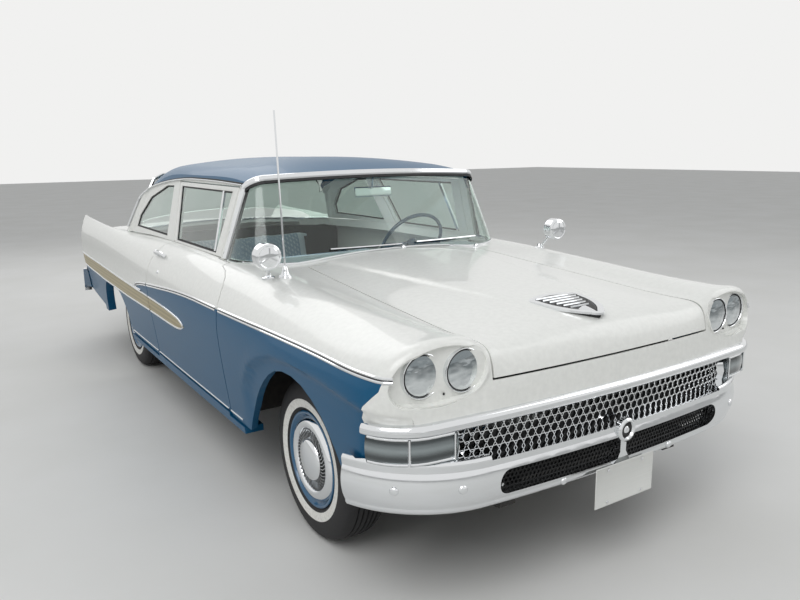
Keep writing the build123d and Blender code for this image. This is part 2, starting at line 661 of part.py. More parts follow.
# Floor with tunnel, bulkheads and inner wheel walls
FIREWALL_Y = -1000
BOOT_FLOOR_Z = 500
TUNNEL_X = 106
TUNNEL_Z = 382
BULKHEAD_Y = 1300
WHEELHOUSE_X = 590
with BuildPart() as firewall:
    add(block(-790, 790, FIREWALL_Y, FIREWALL_Y + FLOOR_THICKNESS, FLOOR_Z, 1100))
    add(hull(PANEL_WALL, drop=200), mode=Mode.INTERSECT)
with BuildPart() as firewall_sides:
    add(block(-900, 900, FIREWALL_Y, FIREWALL_Y + FLOOR_THICKNESS, FLOOR_Z, 840))
    add(hull(DOOR_WALL + 12, drop=200), mode=Mode.INTERSECT)
with BuildPart() as bulkhead:
    add(block(-900, 900, BULKHEAD_Y, BULKHEAD_Y + FLOOR_THICKNESS, 700, 960))
    add(hull(DOOR_WALL, drop=200), mode=Mode.INTERSECT)
with BuildPart() as floor_pan:
    add(block(-FLOOR_SIDE_X, FLOOR_SIDE_X, FIREWALL_Y, 840, FLOOR_Z, FLOOR_Z + FLOOR_THICKNESS))
    add(block(-WHEELHOUSE_X, WHEELHOUSE_X, 840, 900, FLOOR_Z, FLOOR_Z + FLOOR_THICKNESS))
    add(firewall.part)
    add(firewall_sides.part)
    add(block(-TUNNEL_X - 14, TUNNEL_X + 14, FIREWALL_Y, 886, FLOOR_Z, TUNNEL_Z + 14))
    add(block(-TUNNEL_X, TUNNEL_X, FIREWALL_Y - 1, 901, FLOOR_Z - 1, TUNNEL_Z), mode=Mode.SUBTRACT)
    add(block(-WHEELHOUSE_X, WHEELHOUSE_X, 886, 2380, BOOT_FLOOR_Z, BOOT_FLOOR_Z + FLOOR_THICKNESS))
    add(block(-WHEELHOUSE_X, WHEELHOUSE_X, 886, 900, TUNNEL_Z, BOOT_FLOOR_Z + FLOOR_THICKNESS))
    for side in (1, -1):
        add(block(side * TUNNEL_X, side * WHEELHOUSE_X, 886, 900, FLOOR_Z, BOOT_FLOOR_Z))
        add(block(side * (WHEELHOUSE_X - 14), side * WHEELHOUSE_X, 900, 1690, BOOT_FLOOR_Z, 714))
    add(block(-WHEELHOUSE_X, WHEELHOUSE_X, BULKHEAD_Y, BULKHEAD_Y + FLOOR_THICKNESS, BOOT_FLOOR_Z, 720))
    add(bulkhead.part)
    add(sills.part, mode=Mode.SUBTRACT)
    add(frame.part, mode=Mode.SUBTRACT)
save(floor_pan.part, "floor_pan")

# Inner wings between the frame rails and the wings
APRON_X = 447
with BuildPart() as inner_fenders:
    with BuildSketch(Plane.XZ.offset(-FIREWALL_Y)):
        Polygon((APRON_X, 390), (APRON_X + 14, 390), (APRON_X + 14, 706), (640, 980), (622, 990), (APRON_X, 712),
                align=None)
    extrude(amount=1340)
    mirror(about=Plane.YZ)
    add(hull(PANEL_WALL, drop=200) & ends(PANEL_WALL), mode=Mode.INTERSECT)
    add(frame.part, mode=Mode.SUBTRACT)
save(inner_fenders.part, "inner_fenders")

# Seats
with BuildPart() as front_seat:
    with BuildSketch(Plane.YZ.offset(-680)):
        Polygon((-330, 400), (-350, 540), (180, 500), (270, 860), (370, 860), (330, 400), align=None)
    extrude(amount=1360)
    fillet(front_seat.edges().filter_by(Axis.X), 30)
with BuildPart() as front_seat_whole:
    add(front_seat.part)
    for side in (1, -1):
        add(block(side * 200, side * 600, -250, 250, FLOOR_Z + FLOOR_THICKNESS, 410))
save(front_seat_whole.part, "front_seat")

with BuildPart() as rear_seat:
    with BuildSketch(Plane.YZ.offset(-565)):
        Polygon((700, 400), (680, 530), (1100, 515), (1200, 900), (BULKHEAD_Y, 900),
                (BULKHEAD_Y, BOOT_FLOOR_Z + FLOOR_THICKNESS), (880, BOOT_FLOOR_Z + FLOOR_THICKNESS), (880, 400),
                align=None)
    extrude(amount=1130)
    for side in (1, -1):
        add(block(side * 200, side * 560, 740, 880, FLOOR_Z + FLOOR_THICKNESS, 410))
    add(frame.part, mode=Mode.SUBTRACT)
save(rear_seat.part, "rear_seat")

# Dashboard and steering
with BuildPart() as dashboard:
    with BuildSketch(Plane.YZ.offset(-760)):
        Polygon((FIREWALL_Y + 14, 860), (FIREWALL_Y + 14, 960), (-780, 965), (-730, 930), (-745, 830), (-820, 790),
                align=None)
    extrude(amount=1520)
save(dashboard.part, "dashboard")

STEER_X = 390
STEER_CENTRE = (STEER_X, -600, 1000)
COLUMN_LEAN = 30
COLUMN_LENGTH = 440
column_down = Vector(0, -cos(radians(COLUMN_LEAN)), -sin(radians(COLUMN_LEAN)))
centre = Vector(*STEER_CENTRE)
with BuildPart() as steering_column:
    add(rod(tuple(centre + column_down * 60), tuple(centre + column_down * COLUMN_LENGTH), 30))
    add(dashboard.part, mode=Mode.SUBTRACT)
    add(floor_pan.part, mode=Mode.SUBTRACT)
save(steering_column.part, "steering_column")

wheel_plane = Plane(origin=centre, x_dir=(1, 0, 0), z_dir=-column_down)
with BuildPart() as steering_wheel:
    with BuildSketch(Plane(origin=centre, x_dir=(1, 0, 0), z_dir=wheel_plane.y_dir)) as rim_section:
        with Locations((STEER_WHEEL_R - 11, 0)):
            Circle(11)
    revolve(axis=Axis(centre, wheel_plane.z_dir))
    with BuildSketch(wheel_plane.offset(-59)):
        Circle(32)
    extrude(amount=59)
    with BuildSketch(wheel_plane.offset(-12)):
        Rectangle(2 * STEER_WHEEL_R - 24, 26)
    extrude(amount=16)
save(steering_wheel.part, "steering_wheel")


# Bumpers and grille
BUMPER_LOW_Z = 404
BUMPER_TOP_Z = 592
BUMPER_DEPTH = 50
BUMPER_MIDDLE_Y = -2553
BUMPER_BOW = (600, -2524)
BUMPER_TIP = (983, -2235)
MOUTH_WIDTH = 1130
MOUTH_LOW_Z = 446
MOUTH_TOP_Z = 535
MOUTH_CORNER = 42
MID_BAR_TOP_Z = 578
POD_X = 595
BRACKET_HALF = 35
UPPER_BAR_LOW_Z = 690
UPPER_BAR_TOP_Z = 728
UPPER_BAR_DEPTH = 60
UPPER_BAR_MIDDLE_Y = -2528
UPPER_BAR_BOW = (780, -2490)
UPPER_BAR_TIP = (972, -2340)
MESH_THICKNESS = 8
MESH_X = 700
BOSS_Z = 556
BOSS_R = 44
POST_TOP_X = 15
POST_FOOT_X = 42


def nose_bow(middle_y, corner_x, corner_y, tip_x, tip_y, z_from, z_to):
    """The plan outline of a bar that bows across the nose and wraps round its corners, as a solid slab."""
    turn = (corner_x + 0.75 * (tip_x - corner_x), corner_y + 0.3 * (tip_y - corner_y))
    with BuildPart() as part:
        with BuildSketch(Plane.XY.offset(z_from)):
            with BuildLine():
                ThreePointArc((-corner_x, corner_y), (0, middle_y), (corner_x, corner_y))
                ThreePointArc((corner_x, corner_y), turn, (tip_x, tip_y))
                Line((tip_x, tip_y), (-tip_x, tip_y))
                ThreePointArc((-tip_x, tip_y), (-turn[0], turn[1]), (-corner_x, corner_y))
            make_face()
        extrude(amount=z_to - z_from)
    return part.part


def nose_band(middle_y, corner_x, corner_y, tip_x, tip_y, depth, z_from, z_to):
    """A bar of even depth along the nose_bow outline."""
    slab = nose_bow(middle_y, corner_x, corner_y, tip_x, tip_y, z_from, z_to)
    inner = nose_bow(middle_y + depth, corner_x - depth / 2, corner_y + depth, tip_x - depth,
                     max(tip_y, corner_y + depth) + 10, z_from, z_to)
    return slab - inner


def bow_sweep(middle_y, bow_end, tip, section):
    """A section of lines and arcs in (depth, z), carried along the bow of the nose and round its corners."""
    with BuildPart() as half:
        with BuildLine() as path:
            bow = TangentArc((0, middle_y), bow_end, tangent=(1, 0))
            TangentArc(bow_end, tip, tangent=bow % 1)
        with BuildSketch(Plane(origin=(0, middle_y, 0), x_dir=(0, 1, 0), z_dir=(1, 0, 0))):
            with BuildLine():
                for points in section:
                    if len(points) == 3:
                        ThreePointArc(*points)
                    else:
                        Line(*points)
            make_face()
        sweep(path=path.line)
        mirror(about=Plane.YZ)
    return half.part


# The rolled section of the bumper, and the bright bar over the mesh with its rounded upper edge
low, top, depth = BUMPER_LOW_Z, BUMPER_TOP_Z, BUMPER_DEPTH
BUMPER_SECTION = [
    ((depth, low), (depth, top)), ((depth, top), (14, top)), ((14, top), (4, top - 4), (0, top - 15)),
    ((0, top - 15), (3, top - 36)), ((3, top - 36), (-6, low + 96), (14, low + 26)),
    ((14, low + 26), (24, low + 4), (depth, low)),
]
low, top, depth = UPPER_BAR_LOW_Z, UPPER_BAR_TOP_Z, UPPER_BAR_DEPTH
UPPER_BAR_SECTION = [
    ((depth, low), (depth, top)), ((depth, top), (18, top)), ((18, top), (5, top - 7), (0, low + 16)),
    ((0, low + 16), (2, low + 5), (10, low)), ((10, low), (depth, low)),
]

with BuildPart() as front_bumper:
    add(bow_sweep(BUMPER_MIDDLE_Y, BUMPER_BOW, BUMPER_TIP, BUMPER_SECTION))
    with BuildSketch(Plane.XZ.offset(HALF_LENGTH)):
        with Locations((0, (MOUTH_LOW_Z + MOUTH_TOP_Z) / 2)):
            RectangleRounded(MOUTH_WIDTH, MOUTH_TOP_Z - MOUTH_LOW_Z, MOUTH_CORNER)
        with Locations((0, (MID_BAR_TOP_Z + HIGH) / 2)):
            Rectangle(2 * POD_X, HIGH - MID_BAR_TOP_Z)
    extrude(amount=-3 * BUMPER_DEPTH, mode=Mode.SUBTRACT)
    for side in (1, -1):
        add(block(side * (RAIL_X - BRACKET_HALF), side * (RAIL_X + BRACKET_HALF), -2500, -2420, 408, 430))
    add(outer, mode=Mode.SUBTRACT)
save(front_bumper.part, "front_bumper")

with BuildPart() as grille_mesh:
    add(nose_band(-2503, 560, -2477, MESH_X, -2440, MESH_THICKNESS, 425, UPPER_BAR_LOW_Z))
    add(front_bumper.part, mode=Mode.SUBTRACT)
    add(outer, mode=Mode.SUBTRACT)
save(grille_mesh.part, "grille_mesh")

with BuildPart() as upper_bar:
    add(bow_sweep(UPPER_BAR_MIDDLE_Y, UPPER_BAR_BOW, UPPER_BAR_TIP, UPPER_BAR_SECTION))
    add(outer, mode=Mode.SUBTRACT)

with BuildPart() as grille_centre:
    with BuildSketch(Plane.XZ.offset(-BUMPER_MIDDLE_Y - BUMPER_DEPTH)):
        Polygon((-POST_FOOT_X, BUMPER_LOW_Z + 20), (POST_FOOT_X, BUMPER_LOW_Z + 20), (POST_TOP_X, MOUTH_LOW_Z + 24),
                (POST_TOP_X, BOSS_Z), (-POST_TOP_X, BOSS_Z), (-POST_TOP_X, MOUTH_LOW_Z + 24), align=None)
    extrude(amount=BUMPER_DEPTH - 6)
    with BuildSketch(Plane(origin=(0, -HALF_LENGTH, BOSS_Z), x_dir=(0, 1, 0), z_dir=(1, 0, 0))):
        with BuildLine():
            Polyline((25, 0), (25, BOSS_R), (6, BOSS_R), (0, BOSS_R - 6), (0, BOSS_R - 12), (9, BOSS_R - 18),
                     (9, BOSS_R - 28), (4, BOSS_R - 34), (4, 0), close=True)
        make_face()
    revolve(axis=Axis((0, 0, BOSS_Z), (0, 1, 0)))
    add(front_bumper.part, mode=Mode.SUBTRACT)
save(upper_bar.part + grille_centre.part, "grille_bars")

# Parking lamps between the bumper and the upper bar, round the corners
low, top, depth = BUMPER_TOP_Z, UPPER_BAR_LOW_Z, UPPER_BAR_DEPTH
PARKING_SECTION = [
    ((depth, low), (depth, top)), ((depth, top), (8, top)), ((8, top), (0, (low + top) / 2), (8, low)),
    ((8, low), (depth, low)),
]
with BuildPart() as parking_lamps:
    add(bow_sweep(UPPER_BAR_MIDDLE_Y + 14, (780, -2476), (956, -2340), PARKING_SECTION))
    add(block(-MESH_X, MESH_X, -2700, -2000, 500, 800), mode=Mode.SUBTRACT)
    add(outer, mode=Mode.SUBTRACT)
save(parking_lamps.part, "parking_lamps")

with BuildPart() as rear_bumper:
    add(mirror(nose_band(-HALF_LENGTH, 620, -2535, 975, -2300, 80, 420, 600), about=Plane.XZ))
    for side in (1, -1):
        add(block(side * (RAIL_X - 35), side * (RAIL_X + 35), 2350, 2500, 420, 440))
    add(outer - block(-600, 600, 2000, 2700, 0, TAIL_PANEL_LOW_Z), mode=Mode.SUBTRACT)
save(rear_bumper.part, "rear_bumper")

# Lamps
def sealed_lamp(x, front_y):
    """A headlamp unit: domed glass, a short rim and a tapering bowl behind."""
    edge_y = front_y + LAMP_DOME
    with BuildPart() as unit:
        with BuildSketch(Plane(origin=(x, 0, LAMP_Z), x_dir=(0, 1, 0), z_dir=(1, 0, 0))):
            with BuildLine():
                ThreePointArc((front_y, 0), (front_y + LAMP_DOME / 4, LAMP_R / 2), (edge_y, LAMP_R))
                Polyline((edge_y, LAMP_R), (edge_y + 2 * BEZEL_FLOOR, LAMP_R), (LAMP_REAR_Y, LAMP_NECK_R),
                         (LAMP_REAR_Y, 0), (front_y, 0))
            make_face()
        revolve(axis=Axis((x, 0, LAMP_Z), (0, 1, 0)))
    return unit.part


with BuildPart() as headlamps:
    for x, front_y in HEADLAMPS:
        add(sealed_lamp(x, front_y))
    mirror(about=Plane.YZ)
save(headlamps.part, "headlamps")

(outer_x, outer_y), (inner_x, inner_y) = HEADLAMPS
lamp_floor = Plane(origin=(outer_x, outer_y + LAMP_DOME, LAMP_Z), x_dir=(outer_x - inner_x, outer_y - inner_y, 0),
                   z_dir=(outer_y - inner_y, inner_x - outer_x, 0))
with BuildPart() as bezel_recess:
    add(bezel_prism(BEZEL_RIM))
    split(bisect_by=lamp_floor, keep=Keep.TOP)
with BuildPart() as headlamp_bezels:
    add(bezel_prism(0))
    add(outer, mode=Mode.INTERSECT)
    add(bezel_recess.part, mode=Mode.SUBTRACT)
    split(bisect_by=lamp_floor.offset(-BEZEL_FLOOR), keep=Keep.TOP)
    mirror(about=Plane.YZ)
    add(headlamps.part, mode=Mode.SUBTRACT)
save(headlamp_bezels.part, "headlamp_bezels")

with BuildPart() as tail_lamps:
    for x in (715, 845):
        for side in (1, -1):
            add(rod((side * x, 2400, 840), (side * x, 2510, 840), 58))
    add(outer, mode=Mode.SUBTRACT)
save(tail_lamps.part, "tail_lamps")

# Scoop on the hood: a chrome ring with its blunt point forwards, and a low panel inside
SCOOP_ARCS = [
    ((-105, -2160), (0, -2134), (105, -2160)), ((105, -2160), (130, -2178), (127, -2208)),
    ((127, -2208), (98, -2320), (34, -2400)), ((34, -2400), (0, -2422), (-34, -2400)),
    ((-34, -2400), (-98, -2320), (-127, -2208)), ((-127, -2208), (-130, -2178), (-105, -2160)),
]
SCOOP_LOW_Z = 880
SCOOP_RING = 24
SCOOP_RISE = 14
SCOOP_PANEL_RISE = 3


def scoop_prism(inset, rise):
    """The scoop's plan outline, carried up to a slope that stands above the hood by rise."""
    slope = [(-2100, SCOOP_LOW_Z), (-2100, 973 + rise), (-2440, 945 + rise), (-2440, SCOOP_LOW_Z)]
    with BuildPart() as prism:
        with BuildSketch(Plane.XY.offset(SCOOP_LOW_Z)):
            with BuildLine():
                for start, middle, end in SCOOP_ARCS:
                    ThreePointArc(start, middle, end)
            make_face()
            offset(amount=-inset)
        extrude(amount=HIGH - SCOOP_LOW_Z)
        add(side_prism(slope, -FAR, FAR), mode=Mode.INTERSECT)
    return prism.part


with BuildPart() as hood_scoop:
    add(scoop_prism(0, SCOOP_RISE))
    add(scoop_prism(SCOOP_RING, SCOOP_RISE + 1), mode=Mode.SUBTRACT)
    add(scoop_prism(SCOOP_RING, SCOOP_PANEL_RISE))
    add(outer, mode=Mode.SUBTRACT)
save(hood_scoop.part, "hood_scoop")

# Mirrors and aerial
with BuildPart() as fender_mirrors:
    for side in (1, -1):
        add(rod((side * 797, -1257, 1000), (side * 833, -1336, 1115), 8))
        add(rod((side * 833, -1350, 1115), (side * 833, -1310, 1115), 57))
    add(outer, mode=Mode.SUBTRACT)
save(fender_mirrors.part, "fender_mirrors")

with BuildPart() as aerial:
    add(rod((-730, -1285, 980), (-730, -1285, 1040), 16))
    add(rod((-730, -1285, 1040), (-740, -1265, 1715), 4))
    add(outer, mode=Mode.SUBTRACT)
save(aerial.part, "aerial")
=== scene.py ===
"""Looks of a late-1950s two-door sedan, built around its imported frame.

Metres. +Z is up, the nose points along -Y and the car's left-hand side is at +X, as in the frame.
"""

import math

import bmesh
import bpy
from mathutils import Matrix, Vector
from mathutils.bvhtree import BVHTree


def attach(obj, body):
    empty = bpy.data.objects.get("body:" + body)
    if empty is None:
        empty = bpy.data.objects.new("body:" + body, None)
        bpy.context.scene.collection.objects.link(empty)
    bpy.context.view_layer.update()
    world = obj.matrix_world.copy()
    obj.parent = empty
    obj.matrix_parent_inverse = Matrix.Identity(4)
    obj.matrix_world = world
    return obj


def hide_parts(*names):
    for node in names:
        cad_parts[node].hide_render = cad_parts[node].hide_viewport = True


bl_info = {
    "name": "Late-1950s sedan",
    "version": (1, 0, 0),
    "blender": (4, 5, 0),
    "location": "3D View > Sidebar > Sedan",
    "description": "Paint, bright trim, tyres, glass and cabin for a packed sedan",
    "category": "Object",
}

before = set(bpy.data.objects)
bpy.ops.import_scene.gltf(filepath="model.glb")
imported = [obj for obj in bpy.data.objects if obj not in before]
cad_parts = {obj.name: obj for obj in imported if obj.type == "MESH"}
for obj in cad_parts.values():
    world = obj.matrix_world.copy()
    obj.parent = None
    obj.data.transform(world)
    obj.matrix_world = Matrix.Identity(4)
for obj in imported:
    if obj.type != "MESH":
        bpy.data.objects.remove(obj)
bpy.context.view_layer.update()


def mm(value):
    """Millimetres as metres, through any nesting."""
    return value / 1000 if isinstance(value, (int, float)) else type(value)(map(mm, value))


SHUT_GAP = 0.007
PANEL_WALL = 0.030
DOOR_WALL = 0.056
SILL_Z = 0.345
HOOD_REAR_Y = -1.085
HOOD_FRONT_Z = 0.829
BOOT_FRONT_Y = 1.640
BOOT_SIDE_X = 0.640
BOOT_LOW_Z = 0.700
TAIL_LOW_Z = 0.470
DOOR_HINGE = (0.981, -1.060)
DOOR_LENGTH = 1.232
AXLE_Z = 0.334

# Where rays start that look for a surface, beside the car and above its panels
BESIDE_CAR = 1.4
ABOVE_SKIN = 1.4
WHEEL_PLACES = {"fl": (0.750, -1.689), "fr": (-0.750, -1.689), "rl": (0.730, 1.257), "rr": (-0.730, 1.257)}

# The skin's cage, one row from nose to tail, each from the middle of the hood out over the wing and down
# the side: middle, half hood, hood seam, valley, ridge, shoulder, crease, widest, flare, lower side, foot
NOSE_ROWS = mm([
    [(0, -2500, 700), (280, -2495, 700), (550, -2478, 698), (600, -2473, 696), (690, -2465, 694),
     (770, -2456, 692), (800, -2450, 690), (820, -2442, 688), (820, -2430, 680), (800, -2360, 560),
     (780, -2240, 350)],
    [(0, -2508, 717), (280, -2503, 717), (550, -2487, 714), (600, -2482, 710), (690, -2474, 706),
     (770, -2465, 704), (810, -2458, 702), (835, -2450, 700), (840, -2438, 692), (820, -2375, 560),
     (800, -2250, 350)],
    [(0, -2503, 770), (280, -2498, 770), (550, -2483, 768), (600, -2476, 760), (700, -2470, 752),
     (790, -2462, 748), (845, -2452, 740), (868, -2441, 728), (872, -2425, 700), (860, -2370, 560),
     (840, -2248, 350)],
    [(0, -2494, 829), (280, -2489, 829), (530, -2476, 826), (575, -2462, 860), (700, -2458, 860),
     (820, -2452, 845), (885, -2440, 800), (902, -2424, 748), (905, -2402, 700), (900, -2352, 560),
     (880, -2245, 350)],
    [(0, -2468, 897), (280, -2463, 895), (527, -2450, 893), (600, -2450, 945), (710, -2450, 966),
     (825, -2441, 955), (918, -2420, 885), (932, -2398, 790), (934, -2372, 700), (926, -2325, 560),
     (905, -2238, 350)],
    [(0, -2405, 940), (280, -2400, 938), (530, -2390, 926), (600, -2385, 958), (700, -2384, 972),
     (840, -2378, 956), (932, -2364, 890), (956, -2350, 790), (957, -2325, 700), (943, -2285, 560),
     (918, -2215, 350)],
])

# Cross-sections, y and then (x, z) in the same order
BODY_ROWS = mm([
    (-2250, (0, 968), (280, 962), (548, 928), (620, 954), (705, 974), (855, 950), (950, 888), (969, 790),
     (966, 690), (952, 560), (924, 350)),
    (-2000, (0, 986), (280, 980), (553, 944), (640, 964), (730, 980), (866, 949), (956, 877), (974, 788),
     (970, 690), (955, 560), (927, 350)),
    (-1690, (0, 1006), (280, 999), (547, 964), (660, 980), (757, 994), (880, 960), (962, 877), (977, 786),
     (973, 690), (957, 560), (928, 350)),
    (-1360, (0, 1026), (280, 1019), (536, 986), (670, 998), (780, 1008), (888, 969), (963, 878), (978, 784),
     (973, 690), (958, 560), (930, 350)),
    (-1060, (0, 1046), (280, 1038), (525, 1006), (680, 1013), (798, 1020), (893, 977), (964, 880), (977, 780),
     (972, 690), (958, 560), (930, 350)),
    (-680, (0, 1048), (280, 1042), (525, 1012), (690, 1020), (803, 1026), (893, 982), (962, 885), (977, 782),
     (972, 690), (958, 560), (930, 350)),
    (-300, (0, 1050), (280, 1044), (525, 1016), (690, 1024), (806, 1030), (893, 986), (960, 890), (977, 785),
     (972, 690), (958, 560), (930, 350)),
    (60, (0, 1048), (280, 1042), (532, 1016), (690, 1024), (806, 1029), (891, 986), (957, 898), (976, 788),
     (971, 690), (956, 560), (929, 350)),
    (400, (0, 1045), (280, 1040), (540, 1016), (690, 1023), (806, 1026), (889, 985), (954, 910), (974, 795),
     (969, 690), (955, 560), (928, 350)),
    (800, (0, 1040), (280, 1034), (580, 1012), (700, 1014), (808, 1012), (887, 992), (949, 930), (972, 806),
     (967, 690), (953, 560), (926, 350)),
    (1250, (0, 1024), (280, 1018), (615, 996), (710, 996), (800, 994), (886, 1003), (944, 950), (969, 818),
     (963, 690), (949, 560), (922, 350)),
    (1700, (0, 1000), (280, 994), (640, 974), (720, 972), (798, 972), (885, 1016), (940, 960), (966, 824),
     (960, 690), (945, 560), (918, 350)),
    (2100, (0, 974), (280, 968), (640, 950), (720, 948), (794, 950), (884, 1025), (937, 956), (962, 826),
     (954, 690), (938, 560), (910, 350)),
    (2340, (0, 954), (280, 948), (640, 934), (720, 930), (792, 936), (884, 1031), (933, 952), (956, 828),
     (946, 690), (928, 560), (902, 350)),
])

TAIL_ROWS = mm([
    [(0, 2455, 915), (280, 2453, 910), (640, 2440, 900), (710, 2432, 905), (790, 2430, 925),
     (884, 2492, 1035), (928, 2425, 945), (946, 2440, 830), (934, 2440, 690), (912, 2415, 560),
     (888, 2380, 350)],
    [(0, 2505, 830), (280, 2502, 826), (640, 2488, 820), (700, 2470, 850), (760, 2460, 895), (850, 2455, 925),
     (905, 2468, 905), (920, 2490, 820), (910, 2482, 690), (890, 2440, 560), (865, 2392, 350)],
    [(0, 2500, 700), (280, 2497, 700), (640, 2484, 700), (690, 2484, 740), (740, 2484, 770), (800, 2490, 790),
     (850, 2496, 780), (866, 2496, 740), (862, 2484, 680), (850, 2446, 560), (830, 2394, 350)],
    [(0, 2455, 470), (280, 2452, 470), (640, 2440, 470), (680, 2438, 480), (720, 2436, 480), (760, 2434, 480),
     (790, 2432, 480), (800, 2430, 480), (800, 2425, 470), (795, 2415, 440), (780, 2392, 350)],
])
FIN_COLUMN = 5
FIN_START_ROW = 8

# Side-view lines, (y, z)
STRIP_LINE = mm([(-2470, 872), (-1798, 873), (-1085, 855), (-515, 845), (101, 793), (361, 766), (450, 745)])
SPEAR_TOP = mm([(-515, 663), (-460, 686), (-396, 698), (-123, 713), (420, 716), (983, 721), (1628, 731),
                (2380, 735)])
SPEAR_LOW = mm([(-515, 661), (-440, 638), (-311, 629), (160, 629), (775, 621), (1546, 625), (1814, 632),
                (2380, 640)])
BLUE_SIDE = [(-2.408, 0.871), (-2.398, 0.836), (-2.345, 0.780), (-2.322, 0.735), (-2.345, 0.680),
             (-2.345, 0.250),
             (2.600, 0.250), (2.600, 0.718), (0.400, 0.718), (0.468, 0.730), *reversed(STRIP_LINE[1:-1])]
BAND_LINE = mm([(400, -1085), (330, -1400), (262, -1750), (195, -2050), (150, -2300)])
BAND_STEP = 0.024
BAND_RISE = 0.007
FLARE_CREASE = mm([(-1262, 420), (-1314, 564), (-1444, 684), (-1560, 742), (-1680, 776), (-1850, 790),
                   (-2074, 788), (-2276, 772), (-2420, 752)])
FLARE_DEPTH = 0.012
FLARE_ROLL = 0.018
DOOR_FRONT_LINE = mm([(0, 100), (0, 850), (15, 905), (45, 948), (95, 980), (165, 1000), (250, 1010),
                      (262, 1200)])

# The roof's colour changes along this side-view line; its mask runs over this span, above this height
ROOF_PAINT_LINE = mm([(-1200, 1000), (-765, 1000), (-745, 1385), (-315, 1396), (282, 1393), (876, 1332),
                      (1093, 1262), (1160, 1230), (1600, 1100)])
ROOF_SPAN = (-1.2, 1.6)
ROOF_MASK_Z = 0.8
# Heights over which the headlamp glass's painted reflection turns from pale below to grey above
LAMP_SHADE_Z = (0.885, 0.955)

# The headlamp opening in front view, (x, z), in arcs of start, middle and end
BEZEL_ARCS = mm([
    ((570, 862), (580, 922), (638, 944)),
    ((638, 944), (740, 956), (830, 938)),
    ((830, 938), (893, 900), (918, 842)),
    ((918, 842), (900, 797), (840, 779)),
    ((840, 779), (740, 770), (665, 783)),
    ((665, 783), (598, 810), (570, 862)),
])

# Wheel arches in side view: foot, arc up, arc down, foot
FRONT_ARCH = mm([
    ((-1290, 340), (-1400, 515), (-1600, 688)),
    ((-1600, 688), (-1830, 742), (-2040, 650)),
    ((-2040, 650), (-2120, 540), (-2190, 300)),
])
REAR_ARCH = mm([
    ((850, 300), (895, 470), (1020, 595)),
    ((1020, 595), (1260, 645), (1510, 600)),
    ((1510, 600), (1630, 460), (1680, 300)),
])

# The hole in the skin under the windows, in plan
CABIN_ARCS = mm([
    ((0, -1028), (360, -1013), (640, -966)),
    ((640, -966), (745, -890), (780, -720)),
    ((780, -720), (781, 200), (780, 1170)),
    ((780, 1170), (722, 1432), (590, 1513)),
    ((590, 1513), (300, 1560), (0, 1577)),
])


# What the pieces are made of, and the surfaces that they are laid on, by name
MATERIALS = {}
SURFACES = {}


# Colours and nodes


def linear(hex_colour):
    """An sRGB hex colour as the linear values that Blender's sockets take."""
    value = hex_colour.lstrip("#")
    channels = [int(value[i:i + 2], 16) / 255 for i in (0, 2, 4)]
    return tuple(c / 12.92 if c <= 0.04045 else ((c + 0.055) / 1.055) ** 2.4 for c in channels) + (1.0,)


def add_node(tree, kind, links=None, values=None, **settings):
    """Adds one node with its settings, its socket values and the links into it."""
    made = tree.nodes.new(kind)
    for name, value in settings.items():
        setattr(made, name, value)
    for socket, value in (values or {}).items():
        made.inputs[socket].default_value = value
    for socket, source in (links or {}).items():
        tree.links.new(source, made.inputs[socket])
    return made


# Finishes


def start_material(name):
    """An empty material with its node tree, its output and its object coordinates."""
    material = bpy.data.materials.new(name)
    material.use_nodes = True
    tree = material.node_tree
    tree.nodes.clear()
    place_on = add_node(tree, "ShaderNodeTexCoord").outputs["Object"]
    return material, tree, add_node(tree, "ShaderNodeOutputMaterial"), place_on


def finish_material(tree, output, values, bump, **links):
    """Joins the shader to its output, with what varies over the surface linked in."""
    links = {name.replace("_", " "): source for name, source in links.items()}
    links["Normal"] = bump.outputs["Normal"]
    shader = add_node(tree, "ShaderNodeBsdfPrincipled", links, values)
    tree.links.new(shader.outputs["BSDF"], output.inputs["Surface"])


def noise_bump(tree, place_on, scale, strength, distance, detail=2.0):
    """A bump from noise of one size, given as copies to the metre."""
    noise = add_node(tree, "ShaderNodeTexNoise", {"Vector": place_on}, {"Scale": scale, "Detail": detail})
    bump = add_node(tree, "ShaderNodeBump", {"Height": noise.outputs["Fac"]},
                    {"Strength": strength, "Distance": distance})
    return noise.outputs["Fac"], bump


def mottled(tree, source, low, high, start=0.3, end=0.7):
    """A value that wanders between two limits with its source."""
    limits = {"From Min": start, "From Max": end, "To Min": low, "To Max": high}
    return add_node(tree, "ShaderNodeMapRange", {"Value": source}, limits).outputs["Result"]


def chosen(name, shade=1.0):
    """A shade of one of the colours that the user has set, as a linear value with alpha."""
    return (*(min(1.0, shade * part) for part in getattr(bpy.context.scene.sedan_paint, name)), 1.0)


def blend_colours(tree, factor, first, second):
    """A blend of two colours, each in hex or as the name and the shade of a colour that the user sets."""
    mix = add_node(tree, "ShaderNodeMix", {"Factor": factor}, data_type="RGBA")
    for socket, colour in (("A", first), ("B", second)):
        mix.inputs[socket].default_value = linear(colour) if isinstance(colour, str) else chosen(*colour)
    return mix.outputs["Result"]


def mottled_finish(name, grain, colours, values, rough=None, spread=(0.3, 0.7)):
    """A finish of two close shades that follow the grain of its bump, as the roughness can too."""
    material, tree, output, place_on = start_material(name)
    noise, bump = noise_bump(tree, place_on, *grain)
    links = {"Base_Color": blend_colours(tree, mottled(tree, noise, 0, 1, *spread), *colours)}
    if rough:
        links["Roughness"] = mottled(tree, noise, *rough)
    finish_material(tree, output, values, bump, **links)
    return material


def mirror_finish(name, grain, colour, rough):
    """A bright metal of one colour, a shade duller where the grain is high."""
    material, tree, output, place_on = start_material(name)
    noise, bump = noise_bump(tree, place_on, *grain)
    finish_material(tree, output, {"Base Color": linear(colour), "Metallic": 1.0}, bump,
                    Roughness=mottled(tree, noise, *rough))
    return material


